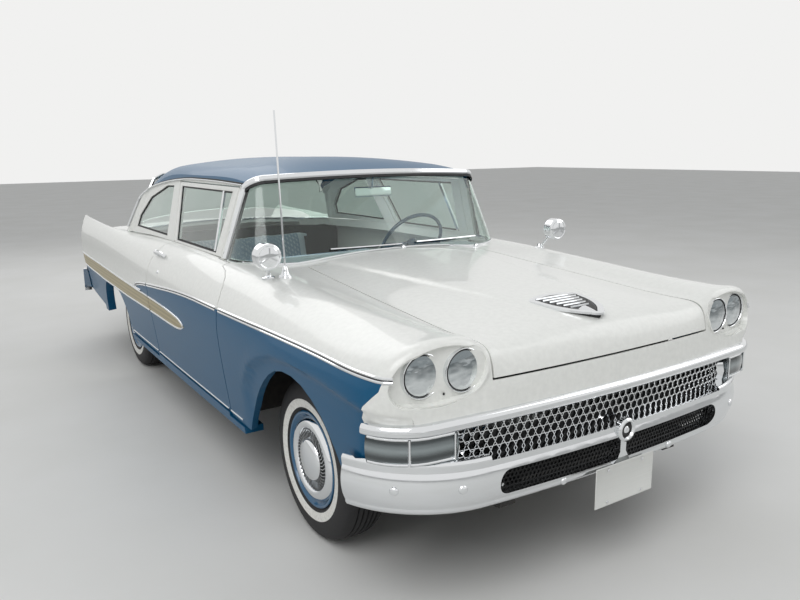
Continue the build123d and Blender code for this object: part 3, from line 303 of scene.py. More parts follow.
def ribbed_finish(name, scale, bump_values, colours, values):
    """A finish with level ribs, its colour painted: shade in the hollows and a highlight on the crests."""
    material, tree, output, place_on = start_material(name)
    ribs = add_node(tree, "ShaderNodeTexWave", {"Vector": place_on}, {"Scale": scale}, bands_direction="Z",
                    wave_profile="SIN").outputs["Fac"]
    bump = add_node(tree, "ShaderNodeBump", {"Height": ribs}, bump_values)
    # Painted shade and highlight: the first colour in the rib hollows, the second on the crests
    finish_material(tree, output, values, bump, Base_Color=blend_colours(tree, ribs, *colours))
    return material


# Grain is the noise's scale, the bump's strength and distance and, where it isn't 2, the noise's detail
MOTTLED_FINISHES = {
    # Sprayed solid-colour enamel: warm white under a clear gloss, with the faint waviness of hand rubbing
    "cream": ("cream_enamel", (55, 0.05, 0.0006), (("cream", 1.0), ("cream", 0.94)),
              {"Roughness": 0.34, "Coat Weight": 0.5, "Coat Roughness": 0.04}),
    # Metallic blue enamel: fine aluminium flake that brightens towards the light, under a clear gloss
    "blue": ("blue_metallic_enamel", (900, 0.10, 0.0004), (("blue", 0.8), ("blue", 1.15)),
             {"Metallic": 0.25, "Roughness": 0.4, "Specular IOR Level": 0.3, "Coat Weight": 0.2,
              "Coat Roughness": 0.05}),
    # Baked solid-colour enamel on the steel wheel: deep blue gloss with a light orange peel
    "wheel_enamel": ("blue_wheel_enamel", (220, 0.08, 0.0005), (("blue", 0.85), ("blue", 1.1)),
                     {"Roughness": 0.3, "Coat Weight": 0.8, "Coat Roughness": 0.05}),
    # Stoved grey-blue enamel on the pressed-steel dashboard: semi-gloss with a light texture
    "dash_paint": ("grey_blue_dash_enamel", (400, 0.12, 0.0004), ("#7C94A7", "#8AA2B5"),
                   {"Roughness": 0.38, "Coat Weight": 0.4}),
    # Stoved satin black enamel on pressed steel: nearly even, a little worn to grey
    "dark": ("satin_black_enamel", (60, 0.1, 0.0005, 5), ("#0D0D0E", "#18191A"), {"Roughness": 0.45}),
    # Brushed black chassis paint: satin, patchy, with dust in the corners
    "chassis_paint": ("black_chassis_paint", (40, 0.3, 0.001, 8), ("#1A1A1B", "#34312D"), {"Roughness": 0.6}),
    # Thick brush-coated engine enamel over casting: warm grey, with a painted sheen that makes the high spots
    # lighter
    "engine_enamel": ("engine_enamel", (150, 0.4, 0.0015, 4), ("#4B453A", "#655C4B"), {"Roughness": 0.45}),
    # Moulded carbon-black rubber: dull dark grey with a fine grain of road dust
    "rubber": ("tyre_rubber", (260, 0.25, 0.0006, 6), ("#19191A", "#29282A"), {"Roughness": 0.72}),
    # Extruded black seal rubber: matt, with a faint bloom
    "seal": ("seal_rubber", (120, 0.15, 0.0004), ("#101011", "#1D1D1F"), {"Roughness": 0.6}),
    # Moulded hard plastic of the steering wheel: glossy blue-grey with slight sink marks
    "wheel_plastic": ("moulded_wheel_plastic", (70, 0.06, 0.0006), ("#37536C", "#41607B"),
                      {"Roughness": 0.22, "Coat Weight": 0.5}),
    # Tempered soda-lime glass: clear and faintly green, mirror-smooth, with the slightest wave from rolling
    "glass": ("window_glass", (3, 0.02, 0.0008), ("#E6F0EB", "#DDEBE5"),
              {"Roughness": 0.0, "IOR": 1.45, "Transmission Weight": 1.0}),
    # Sealed concrete floor: pale, matt, with cloudy patches about a metre across
    "floor": ("pale_studio_floor", (1.2, 0.02, 0.002, 4), ("#DEDEDB", "#E4E4E2"), {"Roughness": 0.75}),
}


def lamp_glass():
    """Pressed headlamp glass over a silvered bowl: broad upright flutes 51 mm apart break up what it shows.
    Its colour is a painted reflection, pale below and grey above a wavering height.
    """
    material, tree, output, place_on = start_material("pressed_lamp_glass")
    flutes = add_node(tree, "ShaderNodeTexWave", {"Vector": place_on}, {"Scale": 6.2}, bands_direction="X",
                      wave_profile="SIN")
    stretch = add_node(tree, "ShaderNodeMapping", {"Vector": place_on}, {"Scale": (1, 1, 2.2)})
    bars = add_node(tree, "ShaderNodeTexNoise", {"Vector": stretch.outputs["Vector"]},
                    {"Scale": 26.0, "Detail": 1.0})
    both = add_node(tree, "ShaderNodeMath", {0: flutes.outputs["Fac"], 1: bars.outputs["Fac"]},
                    operation="ADD")
    bump = add_node(tree, "ShaderNodeBump", {"Height": both.outputs["Value"]},
                    {"Strength": 0.55, "Distance": 0.004})
    split = add_node(tree, "ShaderNodeSeparateXYZ", {"Vector": place_on})
    wander = add_node(tree, "ShaderNodeMath", {0: bars.outputs["Fac"], 2: split.outputs["Z"]}, {1: 0.10},
                      operation="MULTIPLY_ADD")
    # Painted reflection: pale low on the glass, grey higher up, the line wavering with the bars
    shade = mottled(tree, wander.outputs["Value"], 0, 1, start=LAMP_SHADE_Z[0], end=LAMP_SHADE_Z[1])
    finish_material(tree, output, {"Metallic": 0.85, "Roughness": 0.12, "Coat Weight": 1.0,
                                   "Coat Roughness": 0.01},
                    bump, Base_Color=blend_colours(tree, shade, "#D9DEE0", "#7B8488"))
    return material


def seat_fabric():
    """Woven seat cloth with a broad check of two crossed bands, 25 mm apart one way and 50 mm the other."""
    material, tree, output, place_on = start_material("woven_seat_cloth")
    warp, weft = (add_node(tree, "ShaderNodeTexWave", {"Vector": place_on}, {"Scale": 12.5},
                           bands_direction=way)
                  for way in ("X", "DIAGONAL"))
    weave = add_node(tree, "ShaderNodeMath", {0: warp.outputs["Fac"], 1: weft.outputs["Fac"]},
                     operation="MULTIPLY").outputs["Value"]
    bump = add_node(tree, "ShaderNodeBump", {"Height": weave}, {"Strength": 0.35, "Distance": 0.001})
    finish_material(tree, output, {"Roughness": 0.9, "Sheen Weight": 0.3}, bump,
                    Base_Color=blend_colours(tree, weave, "#8296A6", "#B4C1CB"))
    return material


def seat_vinyl():
    """Embossed vinyl: soft sheen over a leather-like grain with pebbles of about 3 mm."""
    material, tree, output, place_on = start_material("embossed_seat_vinyl")
    pebbles = add_node(tree, "ShaderNodeTexVoronoi", {"Vector": place_on},
                       {"Scale": 330.0}).outputs["Distance"]
    bump = add_node(tree, "ShaderNodeBump", {"Height": pebbles}, {"Strength": 0.25, "Distance": 0.001})
    shade = mottled(tree, pebbles, 0, 1, start=0.0)
    finish_material(tree, output, {"Roughness": 0.42}, bump,
                    Base_Color=blend_colours(tree, shade, "#A3B2BB", "#C3CDD3"))
    return material


def plate_enamel():
    """White baked enamel on stamped aluminium sheet: near-white with faint level streaks about 1 mm apart."""
    material, tree, output, place_on = start_material("white_enamelled_aluminium")
    stretch = add_node(tree, "ShaderNodeMapping", {"Vector": place_on}, {"Scale": (4, 1, 900)})
    streaks = add_node(tree, "ShaderNodeTexNoise", {"Vector": stretch.outputs["Vector"]},
                       {"Scale": 1.0, "Detail": 3.0}).outputs["Fac"]
    bump = add_node(tree, "ShaderNodeBump", {"Height": streaks}, {"Strength": 0.2, "Distance": 0.0004})
    finish_material(tree, output, {"Roughness": 0.35}, bump,
                    Base_Color=blend_colours(tree, streaks, "#DADBD7", "#E9EAE7"))
    return material


def roof_enamel():
    """The roof's blue enamel above the drip rail and the pillars' cream below it, masked along that line."""
    material, tree, output, place_on = start_material("roof_two_tone_enamel")
    split = add_node(tree, "ShaderNodeSeparateXYZ", {"Vector": place_on})
    along = mottled(tree, split.outputs["Y"], 0, 1, *ROOF_SPAN)
    line = add_node(tree, "ShaderNodeFloatCurve", {"Value": along})
    curve = line.mapping.curves[0]
    points = [((y - ROOF_SPAN[0]) / (ROOF_SPAN[1] - ROOF_SPAN[0]), z - ROOF_MASK_Z) for y,
              z in ROOF_PAINT_LINE]
    for end, spot in zip(curve.points, (points[0], points[-1])):
        end.location = spot
    for u, v in points[1:-1]:
        curve.points.new(u, v)
    for point in curve.points:
        point.handle_type = "VECTOR"
    line.mapping.update()
    height = add_node(tree, "ShaderNodeMath", {0: split.outputs["Z"], 1: line.outputs["Value"]},
                      operation="SUBTRACT")
    mask = mottled(tree, height.outputs["Value"], 0, 1, ROOF_MASK_Z - 0.0005, ROOF_MASK_Z + 0.0005)
    _, bump = noise_bump(tree, place_on, 900, 0.08, 0.0004)
    finish_material(tree, output, {"Roughness": 0.4, "Specular IOR Level": 0.3, "Coat Weight": 0.15,
                                   "Coat Roughness": 0.05}, bump,
                    Base_Color=blend_colours(tree, mask, ("cream",), ("blue",)))
    return material


def make_finishes():
    """All of the car's finishes, and the floor's."""
    MATERIALS.update({key: mottled_finish(*row) for key, row in MOTTLED_FINISHES.items()})
    # White sidewall rubber ground smooth: chalky, a little grey where it has been scuffed
    MATERIALS["whitewall"] = mottled_finish("whitewall_rubber", (90, 0.12, 0.0005, 5), ("#ECEBE6", "#D2D0C9"),
                                            {"Roughness": 0.55}, spread=(0.45, 0.8))
    # Sand-cast and forged iron under a film of oil: brown-black with a coarse skin, grain about 2 mm
    MATERIALS["iron"] = mottled_finish("oily_cast_iron", (480, 0.5, 0.0012, 4), ("#2A2725", "#4A433C"),
                                       {"Metallic": 0.6}, rough=(0.4, 0.7))
    # Polished chromium plate: near-mirror, a shade duller where it is lightly pitted
    MATERIALS["chrome"] = mirror_finish("chrome_plate", (24, 0.02, 0.0008), "#E6E8EA", (0.05, 0.13))
    # Silvered mirror glass: dark and sharp, with a faint haze
    MATERIALS["mirror"] = mirror_finish("silvered_mirror_glass", (8, 0.01, 0.0004), "#D8DCDE", (0.01, 0.04))
    # Anodised aluminium trim: soft gold with shallow pressed ribs along the car, 25 mm apart, with painted
    # shade in their hollows
    MATERIALS["gold"] = ribbed_finish("gold_anodised_aluminium", 12.5, {"Strength": 0.3, "Distance": 0.001},
                                      (("gold", 0.75), ("gold",)), {"Metallic": 0.85, "Roughness": 0.36})
    # Clear ribbed lens over a bright reflector: broad level ribs 56 mm apart, painted grey in the hollows as
    # shade and pale on the crests as a highlight
    MATERIALS["parking_glass"] = ribbed_finish("ribbed_clear_lens", 5.6, {"Strength": 0.7, "Distance": 0.003},
                                               ("#3B4244", "#8F989A"),
                                               {"Metallic": 0.6, "Roughness": 0.18, "Coat Weight": 1.0})
    # Moulded red acrylic: deep and wet, with broad level ribs 51 mm apart, a painted highlight on their crests
    # and painted shade in their hollows
    MATERIALS["red_lens"] = ribbed_finish("red_acrylic", 6.2, {"Strength": 0.4, "Distance": 0.002},
                                          ("#7A0A0C", "#B3161A"), {"Roughness": 0.12, "Coat Weight": 1.0})
    MATERIALS.update(lamp_glass=lamp_glass(), seat_cloth=seat_fabric(), seat_vinyl=seat_vinyl(),
                     plate=plate_enamel(), roof=roof_enamel())


# Shaping


def shape_object(bm, name, materials):
    """Makes one object at the origin from a finished bmesh."""
    mesh = bpy.data.meshes.new(name)
    bm.to_mesh(mesh)
    bm.free()
    for material in materials:
        mesh.materials.append(material)
    mesh.set_sharp_from_angle(angle=math.radians(38))
    mesh.polygons.foreach_set("use_smooth", [True] * len(mesh.polygons))
    obj = bpy.data.objects.new(name, mesh)
    bpy.context.collection.objects.link(obj)
    return obj


def with_modifiers(obj):
    """Applies an object's modifiers to its own mesh."""
    bpy.context.view_layer.update()
    evaluated = obj.evaluated_get(bpy.context.evaluated_depsgraph_get())
    mesh = bpy.data.meshes.new_from_object(evaluated)
    obj.modifiers.clear()
    old, obj.data = obj.data, mesh
    bpy.data.meshes.remove(old)
    return obj


def arc(start, middle, end, steps=6):
    """Points along the arc through three points of a flat outline, without the last one."""
    (ax, ay), (bx, by), (cx, cy) = start, middle, end
    d = 2 * (ax * (by - cy) + bx * (cy - ay) + cx * (ay - by))
    if abs(d) < 1e-7:
        return [(ax + (cx - ax) * i / steps, ay + (cy - ay) * i / steps) for i in range(steps)]
    sa, sb, sc = ax * ax + ay * ay, bx * bx + by * by, cx * cx + cy * cy
    ux = (sa * (by - cy) + sb * (cy - ay) + sc * (ay - by)) / d
    uy = (sa * (cx - bx) + sb * (ax - cx) + sc * (bx - ax)) / d
    radius = math.hypot(ax - ux, ay - uy)
    first, through, last = (math.atan2(y - uy, x - ux) for x, y in (start, middle, end))
    sweep = (last - first) % math.tau
    if (through - first) % math.tau > sweep:
        sweep -= math.tau
    return [(ux + radius * math.cos(first + sweep * i / steps),
             uy + radius * math.sin(first + sweep * i / steps))
            for i in range(steps)]


def arcs(rows, steps=6, close=False):
    """Points along a chain of arcs."""
    points = [p for row in rows for p in arc(*row, steps=steps)]
    return points if close else points + [rows[-1][2]]


def inside(outline, u, v):
    """Whether a point is inside a closed outline."""
    found = False
    for (ax, ay), (bx, by) in zip(outline, [outline[-1]] + outline[:-1]):
        if (ay > v) != (by > v) and u < (bx - ax) * (v - ay) / (by - ay) + ax:
            found = not found
    return found


VIEWS = {"side": (1, 2), "plan": (0, 1), "front": (0, 2)}


def score(bm, outline, view):
    """Cuts the skin's faces along a closed outline, seen from the side, from above or from the front."""
    a, b = VIEWS[view]
    across = Vector((0, 0, 0))
    across[3 - a - b] = 1
    for start, end in zip(outline, outline[1:] + outline[:1]):
        low = (min(start[0], end[0]) - 1e-4, min(start[1], end[1]) - 1e-4)
        high = (max(start[0], end[0]) + 1e-4, max(start[1], end[1]) + 1e-4)
        near = []
        for face in bm.faces:
            us = [v.co[a] for v in face.verts]
            vs = [v.co[b] for v in face.verts]
            if min(us) < high[0] and max(us) > low[0] and min(vs) < high[1] and max(vs) > low[1]:
                near.append(face)
        if not near:
            continue
        along = Vector((0, 0, 0))
        along[a], along[b] = end[0] - start[0], end[1] - start[1]
        point = Vector((0, 0, 0))
        point[a], point[b] = start
        geom = near + list({e for f in near for e in f.edges}) + list({v for f in near for v in f.verts})
        bmesh.ops.bisect_plane(bm, geom=geom, dist=1e-5, plane_co=point, plane_no=along.cross(across))


def trim(bm, outline, view, keep):
    """Scores the skin along an outline, and keeps what is inside it or outside it."""
    a, b = VIEWS[view]
    score(bm, outline, view)
    drop = []
    for face in bm.faces:
        centre = face.calc_center_median()
        if inside(outline, centre[a], centre[b]) != (keep == "inside"):
            drop.append(face)
    bmesh.ops.delete(bm, geom=drop, context="FACES")


def slice_off(bm, point, normal):
    """Cuts the skin with a plane, and drops the side that the normal points to."""
    geom = bm.verts[:] + bm.edges[:] + bm.faces[:]
    bmesh.ops.bisect_plane(bm, geom=geom, dist=1e-5, plane_co=point, plane_no=normal, clear_outer=True)


def smooth_step(t):
    """A ramp from 0 to 1 that is level at both ends."""
    t = min(max(t, 0), 1)
    return t * t * (3 - 2 * t)


def line_height(line, y):
    """The height of a side-view line at one y, held level past its ends."""
    points = sorted(line)
    if y <= points[0][0]:
        return points[0][1]
    for (ya, za), (yb, zb) in zip(points, points[1:]):
        if y <= yb:
            return za + (zb - za) * (y - ya) / (yb - ya)
    return points[-1][1]


# The body skin


def body_cage():
    """The left half of the body as a coarse sheet, drawn out row by row from the nose to the tail."""
    rows = NOSE_ROWS + [[(x, y, z) for x, z in section] for y, *section in BODY_ROWS] + TAIL_ROWS
    bm = bmesh.new()
    verts = [bm.verts.new(point) for point in rows[0]]
    edges = [bm.edges.new(pair) for pair in zip(verts, verts[1:])]
    chains = [verts]
    for row in rows[1:]:
        made = bmesh.ops.extrude_edge_only(bm, edges=edges)["geom"]
        edges = [g for g in made if isinstance(g, bmesh.types.BMEdge)]
        fresh = {v.co.copy().freeze(): v for v in made if isinstance(v, bmesh.types.BMVert)}
        verts = [fresh[v.co.copy().freeze()] for v in chains[-1]]
        for vert, point in zip(verts, row):
            vert.co = point
        chains.append(verts)
    crease = bm.edges.layers.float.new("crease_edge")
    fins = chains[len(NOSE_ROWS) + FIN_START_ROW:-2]
    for i, (first, second) in enumerate(zip(fins, fins[1:])):
        edge = bm.edges.get((first[FIN_COLUMN], second[FIN_COLUMN]))
        edge[crease] = min(0.25 + 0.2 * i, 0.9)
    bmesh.ops.recalc_face_normals(bm, faces=bm.faces[:])
    if sum(f.normal.z for f in bm.faces) < 0:
        bmesh.ops.reverse_faces(bm, faces=bm.faces[:])
    return bm


def body_skin(levels=3):
    """The smooth left half: the cage is pushed out until the subdivided skin passes near its points."""
    cage = shape_object(body_cage(), "skin_cage", [])
    wanted = [v.co.copy() for v in cage.data.vertices]
    mod = cage.modifiers.new("smooth", "SUBSURF")
    mod.levels = mod.render_levels = 1
    mod.boundary_smooth = "PRESERVE_CORNERS"
    for share in (0.8, 0.5):
        bpy.context.view_layer.update()
        now = cage.evaluated_get(bpy.context.evaluated_depsgraph_get()).data
        for i, target in enumerate(wanted):
            cage.data.vertices[i].co += share * (target - now.vertices[i].co)
    mod.levels = mod.render_levels = levels
    with_modifiers(cage)
    bm = bmesh.new()
    bm.from_mesh(cage.data)
    bpy.data.objects.remove(cage)
    for vert in bm.verts:
        roll_flare(vert)
    return bm


def roll_flare(vert):
    """Tucks the wing in below the crease that runs round the front wheel arch and on to the nose."""
    x, y, z = vert.co
    if x < 0.85 or y > FLARE_CREASE[0][0]:
        return
    below = line_height(FLARE_CREASE, y) - z
    fade = smooth_step((FLARE_CREASE[0][0] - y) / 0.12)
    vert.co.x -= fade * FLARE_DEPTH * smooth_step(below / FLARE_ROLL + 0.5)
    vert.co.x += fade * 0.5 * FLARE_DEPTH * max(0, 1 - abs(below + 0.01) / 0.07)


def hood_seam(shift):
    """The plan line of the hood's side edge, moved outwards by some metres."""
    return [(0.545 + shift, -2.700), (0.557 + shift, -2.250), (0.545 + shift, -1.700),
            (0.525 + shift, HOOD_REAR_Y)]


def door_front(shift):
    """The side-view line of the door's front edge, moved by some metres."""
    return [(DOOR_HINGE[1] + y + shift, z) for y, z in DOOR_FRONT_LINE]


def door_sweep(radius):
    """The plan arc that the door's rear edge swings along."""
    turns = [math.radians(a) for a in range(70, 121, 5)]
    return [(DOOR_HINGE[0] + radius * math.cos(t), DOOR_HINGE[1] + radius * math.sin(t)) for t in turns]


def closed_panel(bm, wall):
    """Gives a trimmed skin its wall, inwards."""
    bmesh.ops.remove_doubles(bm, verts=bm.verts[:], dist=2e-5)
    bmesh.ops.solidify(bm, geom=bm.faces[:], thickness=wall)
    return bm


def paint_sides(bm):
    """Blue inside the painted outline on the car's flanks, cream elsewhere."""
    score(bm, BLUE_SIDE, "side")
    for face in bm.faces:
        x, y, z = face.calc_center_median()
        face.material_index = int(abs(x) > 0.70 and inside(BLUE_SIDE, y, z))


def mirrored_copy(bm):
    """The same shape on the other side of the car."""
    other = bm.copy()
    bmesh.ops.scale(other, vec=(-1, 1, 1), verts=other.verts[:])
    bmesh.ops.reverse_faces(other, faces=other.faces[:])
    return other


def place_pair(bm, name, wall, body, materials):
    """Finishes a left-hand panel and its mirror image, which stand for their CAD nodes."""
    paint_sides(bm)
    closed_panel(bm, wall)
    other = mirrored_copy(bm)
    for shape, side in ((bm, "l"), (other, "r")):
        piece = shape_object(shape, f"{name}_{side}_panel", materials)
        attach(piece, body.format(side))
        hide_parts(f"{name}_{side}")


def place_middle(bm, node, wall, body, materials):
    """Finishes a panel that crosses the middle of the car."""
    other = mirrored_copy(bm)
    mesh = bpy.data.meshes.new("other_half")
    other.to_mesh(mesh)
    other.free()
    bm.from_mesh(mesh)
    bpy.data.meshes.remove(mesh)
    bmesh.ops.remove_doubles(bm, verts=bm.verts[:], dist=1e-4)
    closed_panel(bm, wall)
    piece = shape_object(bm, f"{node}_skin", materials)
    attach(piece, body)
    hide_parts(node)


def raise_band(bm):
    """Lifts the band along the hood's middle, between two creases that close in towards the ornament."""
    for edge in (0.0, BAND_STEP / 2, BAND_STEP):
        outline = [(-0.1, -1.0), *((x + edge, y) for x, y in BAND_LINE), (-0.1, BAND_LINE[-1][1])]
        score(bm, outline, "plan")
    for vert in bm.verts:
        x, y, z = vert.co
        if z > 0.90 and y > BAND_LINE[-1][1] - 0.02:
            half = line_height([(b, a) for a, b in BAND_LINE], y)
            fade = smooth_step((y - BAND_LINE[-1][1]) / 0.25)
            vert.co.z += BAND_RISE * fade * (1 - smooth_step((x - half) / BAND_STEP))


def body_panels():
    """All outer panels, cut from one skin."""
    paint = [MATERIALS["cream"], MATERIALS["blue"]]
    skin = body_skin()
    SURFACES["skin"] = BVHTree.FromBMesh(skin)
    SURFACES["skin_bmesh"] = skin.copy()
    cabin = arcs(CABIN_ARCS)
    trim(skin, cabin + [(-0.1, 1.577), (-0.1, -1.028)], "plan", "outside")
    shut = bpy.context.scene.sedan_sizes.shut_gap
    gap = shut / 2

    hood = skin.copy()
    slice_off(hood, (0, HOOD_REAR_Y, 0), (0, 1, 0))
    trim(hood, hood_seam(-gap) + [(-0.1, HOOD_REAR_Y), (-0.1, -2.7)], "plan", "inside")
    slice_off(hood, (0, 0, HOOD_FRONT_Z), (0, 0, -1))
    raise_band(hood)
    place_middle(hood, "hood", PANEL_WALL, "hood_body", paint)

    nose = skin.copy()
    slice_off(nose, (0, -2.3, 0), (0, 1, 0))
    slice_off(nose, (0, 0, HOOD_FRONT_Z - shut), (0, 0, 1))
    trim(nose, hood_seam(gap) + [(-0.1, HOOD_REAR_Y), (-0.1, -2.7)], "plan", "inside")
    place_middle(nose, "nose_panel", 0.012, "chassis", paint)

    wing = skin.copy()
    slice_off(wing, (0, -0.7, 0), (0, 1, 0))
    slice_off(wing, (0, 0, SILL_Z), (0, 0, -1))
    trim(wing, [(-2.7, 0.1), *door_front(-gap), (-2.7, 1.2)], "side", "inside")
    trim(wing, hood_seam(gap) + mm([(528.5, -600), (-100, -600), (-100, -2700)]), "plan", "outside")
    trim(wing, mm([(0, -985), (806, -985), (806, -500), (0, -500)]), "plan", "outside")
    trim(wing, arcs(FRONT_ARCH), "side", "outside")
    trim(wing, arcs(BEZEL_ARCS, close=True), "front", "outside")
    trim(wing, mm([(-2700, 100), (-2080, 100), (-2150, 425), (-2700, 425)]), "side", "outside")
    place_pair(wing, "front_fender", PANEL_WALL, "chassis", paint)

    cowl = skin.copy()
    slice_off(cowl, (0, HOOD_REAR_Y + shut, 0), (0, -1, 0))
    slice_off(cowl, (0, -0.657, 0), (0, 1, 0))
    slice_off(cowl, (0, 0, 0.93), (0, 0, -1))
    outline = mm([(-100, -1200), (528.5, -1200), (528.5, -985), (806, -985), (806, -600), (-100, -600)])
    trim(cowl, outline, "plan", "inside")
    place_middle(cowl, "cowl", PANEL_WALL, "chassis", paint)

    door = skin.copy()
    slice_off(door, (0, -1.1, 0), (0, -1, 0))
    slice_off(door, (0, 0.3, 0), (0, 1, 0))
    outline = [*door_front(gap)[1:], (0.6, 1.2), (0.6, 0.368), (DOOR_HINGE[1] + gap, 0.368)]
    trim(door, outline, "side", "inside")
    trim(door, door_sweep(DOOR_LENGTH - gap) + [(0, -1.2), (1.6, -1.2)], "plan", "inside")
    trim(door, mm([(0, -1100), (812, -1100), (812, -651), (0, -651)]), "plan", "outside")
    place_pair(door, "door", DOOR_WALL, "door_{}_body", paint)

    quarter = skin.copy()
    slice_off(quarter, (0, -0.1, 0), (0, -1, 0))
    slice_off(quarter, (0, 0, SILL_Z), (0, 0, -1))
    trim(quarter, door_sweep(DOOR_LENGTH + gap) + [(0, -1.2), (1.6, -1.2)], "plan", "outside")
    lid = [(-0.1, 1.2), (BOOT_SIDE_X + gap, 1.2), (BOOT_SIDE_X + gap, 2.7), (-0.1, 2.7)]
    trim(quarter, lid, "plan", "outside")
    trim(quarter, arcs(REAR_ARCH), "side", "outside")
    trim(quarter, mm([(1800, 100), (1760, 385), (2300, 440), (2312, 612), (2700, 612), (2700, 100)]),
         "side", "outside")
    place_pair(quarter, "quarter_panel", DOOR_WALL, "chassis", paint)

    deck = skin.copy()
    slice_off(deck, (0, 1.2, 0), (0, -1, 0))
    slice_off(deck, (0, BOOT_FRONT_Y - shut, 0), (0, 1, 0))
    slice_off(deck, (BOOT_SIDE_X + gap, 0, 0), (1, 0, 0))
    place_middle(deck, "rear_deck", PANEL_WALL, "chassis", paint)

    lid = skin.copy()
    slice_off(lid, (0, BOOT_FRONT_Y, 0), (0, -1, 0))
    slice_off(lid, (BOOT_SIDE_X - gap, 0, 0), (1, 0, 0))
    slice_off(lid, (0, 0, BOOT_LOW_Z), (0, 0, -1))
    place_middle(lid, "boot_lid", PANEL_WALL, "boot_lid_body", paint)

    tail = skin.copy()
    slice_off(tail, (0, 2.2, 0), (0, -1, 0))
    slice_off(tail, (BOOT_SIDE_X + gap, 0, 0), (1, 0, 0))
    slice_off(tail, (0, 0, BOOT_LOW_Z - shut), (0, 0, 1))
    slice_off(tail, (0, 0, TAIL_LOW_Z), (0, 0, -1))
    for face in tail.faces:
        face.material_index = 1
    place_middle(tail, "tail_panel", PANEL_WALL, "chassis", paint)
    skin.free()


MATERIALS = {}


# Placing and sweeping


def place(bm, name, body, finishes, replaces=()):
    """One finished piece on its body, in the finishes that are named, with a space between them."""
    bmesh.ops.recalc_face_normals(bm, faces=bm.faces[:])
    piece = shape_object(bm, name, [MATERIALS[key] for key in finishes.split()])
    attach(piece, body)
    if replaces:
        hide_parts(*replaces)
    return piece


def place_both(bm, name, body, finishes, replaces=None):
    """A left-hand piece and its mirror image."""
    other = bm.copy()
    bmesh.ops.scale(other, vec=(-1, 1, 1), verts=other.verts[:])
    for shape, side in ((bm, "l"), (other, "r")):
        stands_for = (replaces.format(side),) if replaces else ()
        place(shape, f"{name}_{side}", body.format(side), finishes, stands_for)


def dress(finish, *nodes):
    """Gives CAD nodes their finish."""
    for node in nodes:
        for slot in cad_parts[node].material_slots:
            slot.material = MATERIALS[finish]


def node_surface(*nodes):
    """The joint surface of some CAD nodes, for rays to meet."""
    bm = bmesh.new()
    for node in nodes:
        bm.from_mesh(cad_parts[node].data)
    tree = BVHTree.FromBMesh(bm)
    bm.free()
    return tree


def lathe(profile, centre, axis, out, steps=64, closed=False, bm=None):
    """Turns a profile of (distance along the axis, radius) about the axis through the centre."""
    bm = bm or bmesh.new()
    axis, out = Vector(axis).normalized(), Vector(out)
    out = (out - axis * out.dot(axis)).normalized()
    verts = [bm.verts.new(Vector(centre) + axis * a + out * r) for a, r in profile]
    pairs = list(zip(verts, verts[1:])) + ([(verts[-1], verts[0])] if closed else [])
    edges = [bm.edges.new(pair) for pair in pairs]
    bmesh.ops.spin(bm, geom=verts + edges, cent=centre, axis=axis, angle=math.tau, steps=steps,
                   use_merge=True)
    bmesh.ops.remove_doubles(bm, verts=bm.verts[:], dist=1e-6)
    return bm


def placements(points, outs, loop=False):
    """Places along a path: local x across it, y outwards and z along it."""
    count = len(points)
    made = []
    for i, (point, out) in enumerate(zip(points, outs)):
        after = points[(i + 1) % count] if loop else points[min(i + 1, count - 1)]
        before = points[i - 1] if loop else points[max(i - 1, 0)]
        z = (Vector(after) - Vector(before)).normalized()
        y = (Vector(out) - z * z.dot(Vector(out))).normalized()
        spot = Matrix((y.cross(z), y, z)).transposed().to_4x4()
        spot.translation = point
        made.append(spot)
    return made + [made[0]] if loop else made


def sweep(section, places, bm=None, closed_path=False):
    """A closed section of (across, outwards) points, drawn through a row of places."""
    bm = bm or bmesh.new()
    ring = [bm.verts.new(places[0] @ Vector((u, v, 0))) for u, v in section]
    edges = [bm.edges.new(pair) for pair in zip(ring, ring[1:] + ring[:1])]
    if not closed_path:
        bm.faces.new(ring)
    for last, spot in zip(places, places[1:]):
        made = bmesh.ops.extrude_edge_only(bm, edges=edges)["geom"]
        edges = [g for g in made if isinstance(g, bmesh.types.BMEdge)]
        verts = [g for g in made if isinstance(g, bmesh.types.BMVert)]
        bmesh.ops.transform(bm, matrix=spot @ last.inverted(), verts=verts)
    if closed_path:
        bmesh.ops.remove_doubles(bm, verts=bm.verts[:], dist=1e-5)
    else:
        bmesh.ops.edgenet_fill(bm, edges=edges)
    return bm


def softened(points, times=2):
    """Cuts the corners of a line, keeping its ends."""
    for _ in range(times):
        cut = [points[0]]
        for a, b in zip(points, points[1:]):
            cut.append(tuple(0.75 * p + 0.25 * q for p, q in zip(a, b)))
            cut.append(tuple(0.25 * p + 0.75 * q for p, q in zip(a, b)))
        points = cut + [points[-1]]
    return points


def spaced(points, step):
    """Points at even steps along a line."""
    made = [points[0]]
    for a, b in zip(points, points[1:]):
        count = max(1, round(math.dist(a, b) / step))
        made += [tuple(p + (q - p) * i / count for p, q in zip(a, b)) for i in range(1, count + 1)]
    return made


def meet(tree, start, direction):
    """Where a ray meets a surface and its outward direction there, or None for both."""
    point, normal, _, _ = tree.ray_cast(Vector(start), Vector(direction))
    if point is None:
        return None, None
    return point, normal if normal.dot(Vector(direction)) < 0 else -normal


def skin_z(x, y, otherwise=None):
    """The height of the skin at a place in plan, or another value where there is none."""
    point, _ = meet(SURFACES["skin"], (x, y, ABOVE_SKIN), (0, 0, -1))
    return point.z if point else otherwise


def laid_on(tree, starts, direction):
    """Where rays from a row of starts meet a surface, with its evened outward direction there."""
    met = [spot for spot in (meet(tree, start, direction) for start in starts) if spot[0]]
    points, outs = [point for point, _ in met], [out for _, out in met]
    smooth = [sum(outs[max(0, i - 2):i + 3], Vector()).normalized() for i in range(len(outs))]
    return points, smooth


def side_spots(tree, line):
    """Placements along a side-view line, where it meets a surface from the left."""
    return placements(*laid_on(tree, [(BESIDE_CAR, y, z) for y, z in line], (-1, 0, 0)))


def held(section, points, out, bm=None):
    """A section swept along points, facing one way throughout."""
    points = [Vector(point) for point in points]
    return sweep(section, placements(points, [Vector(out)] * len(points)), bm=bm)


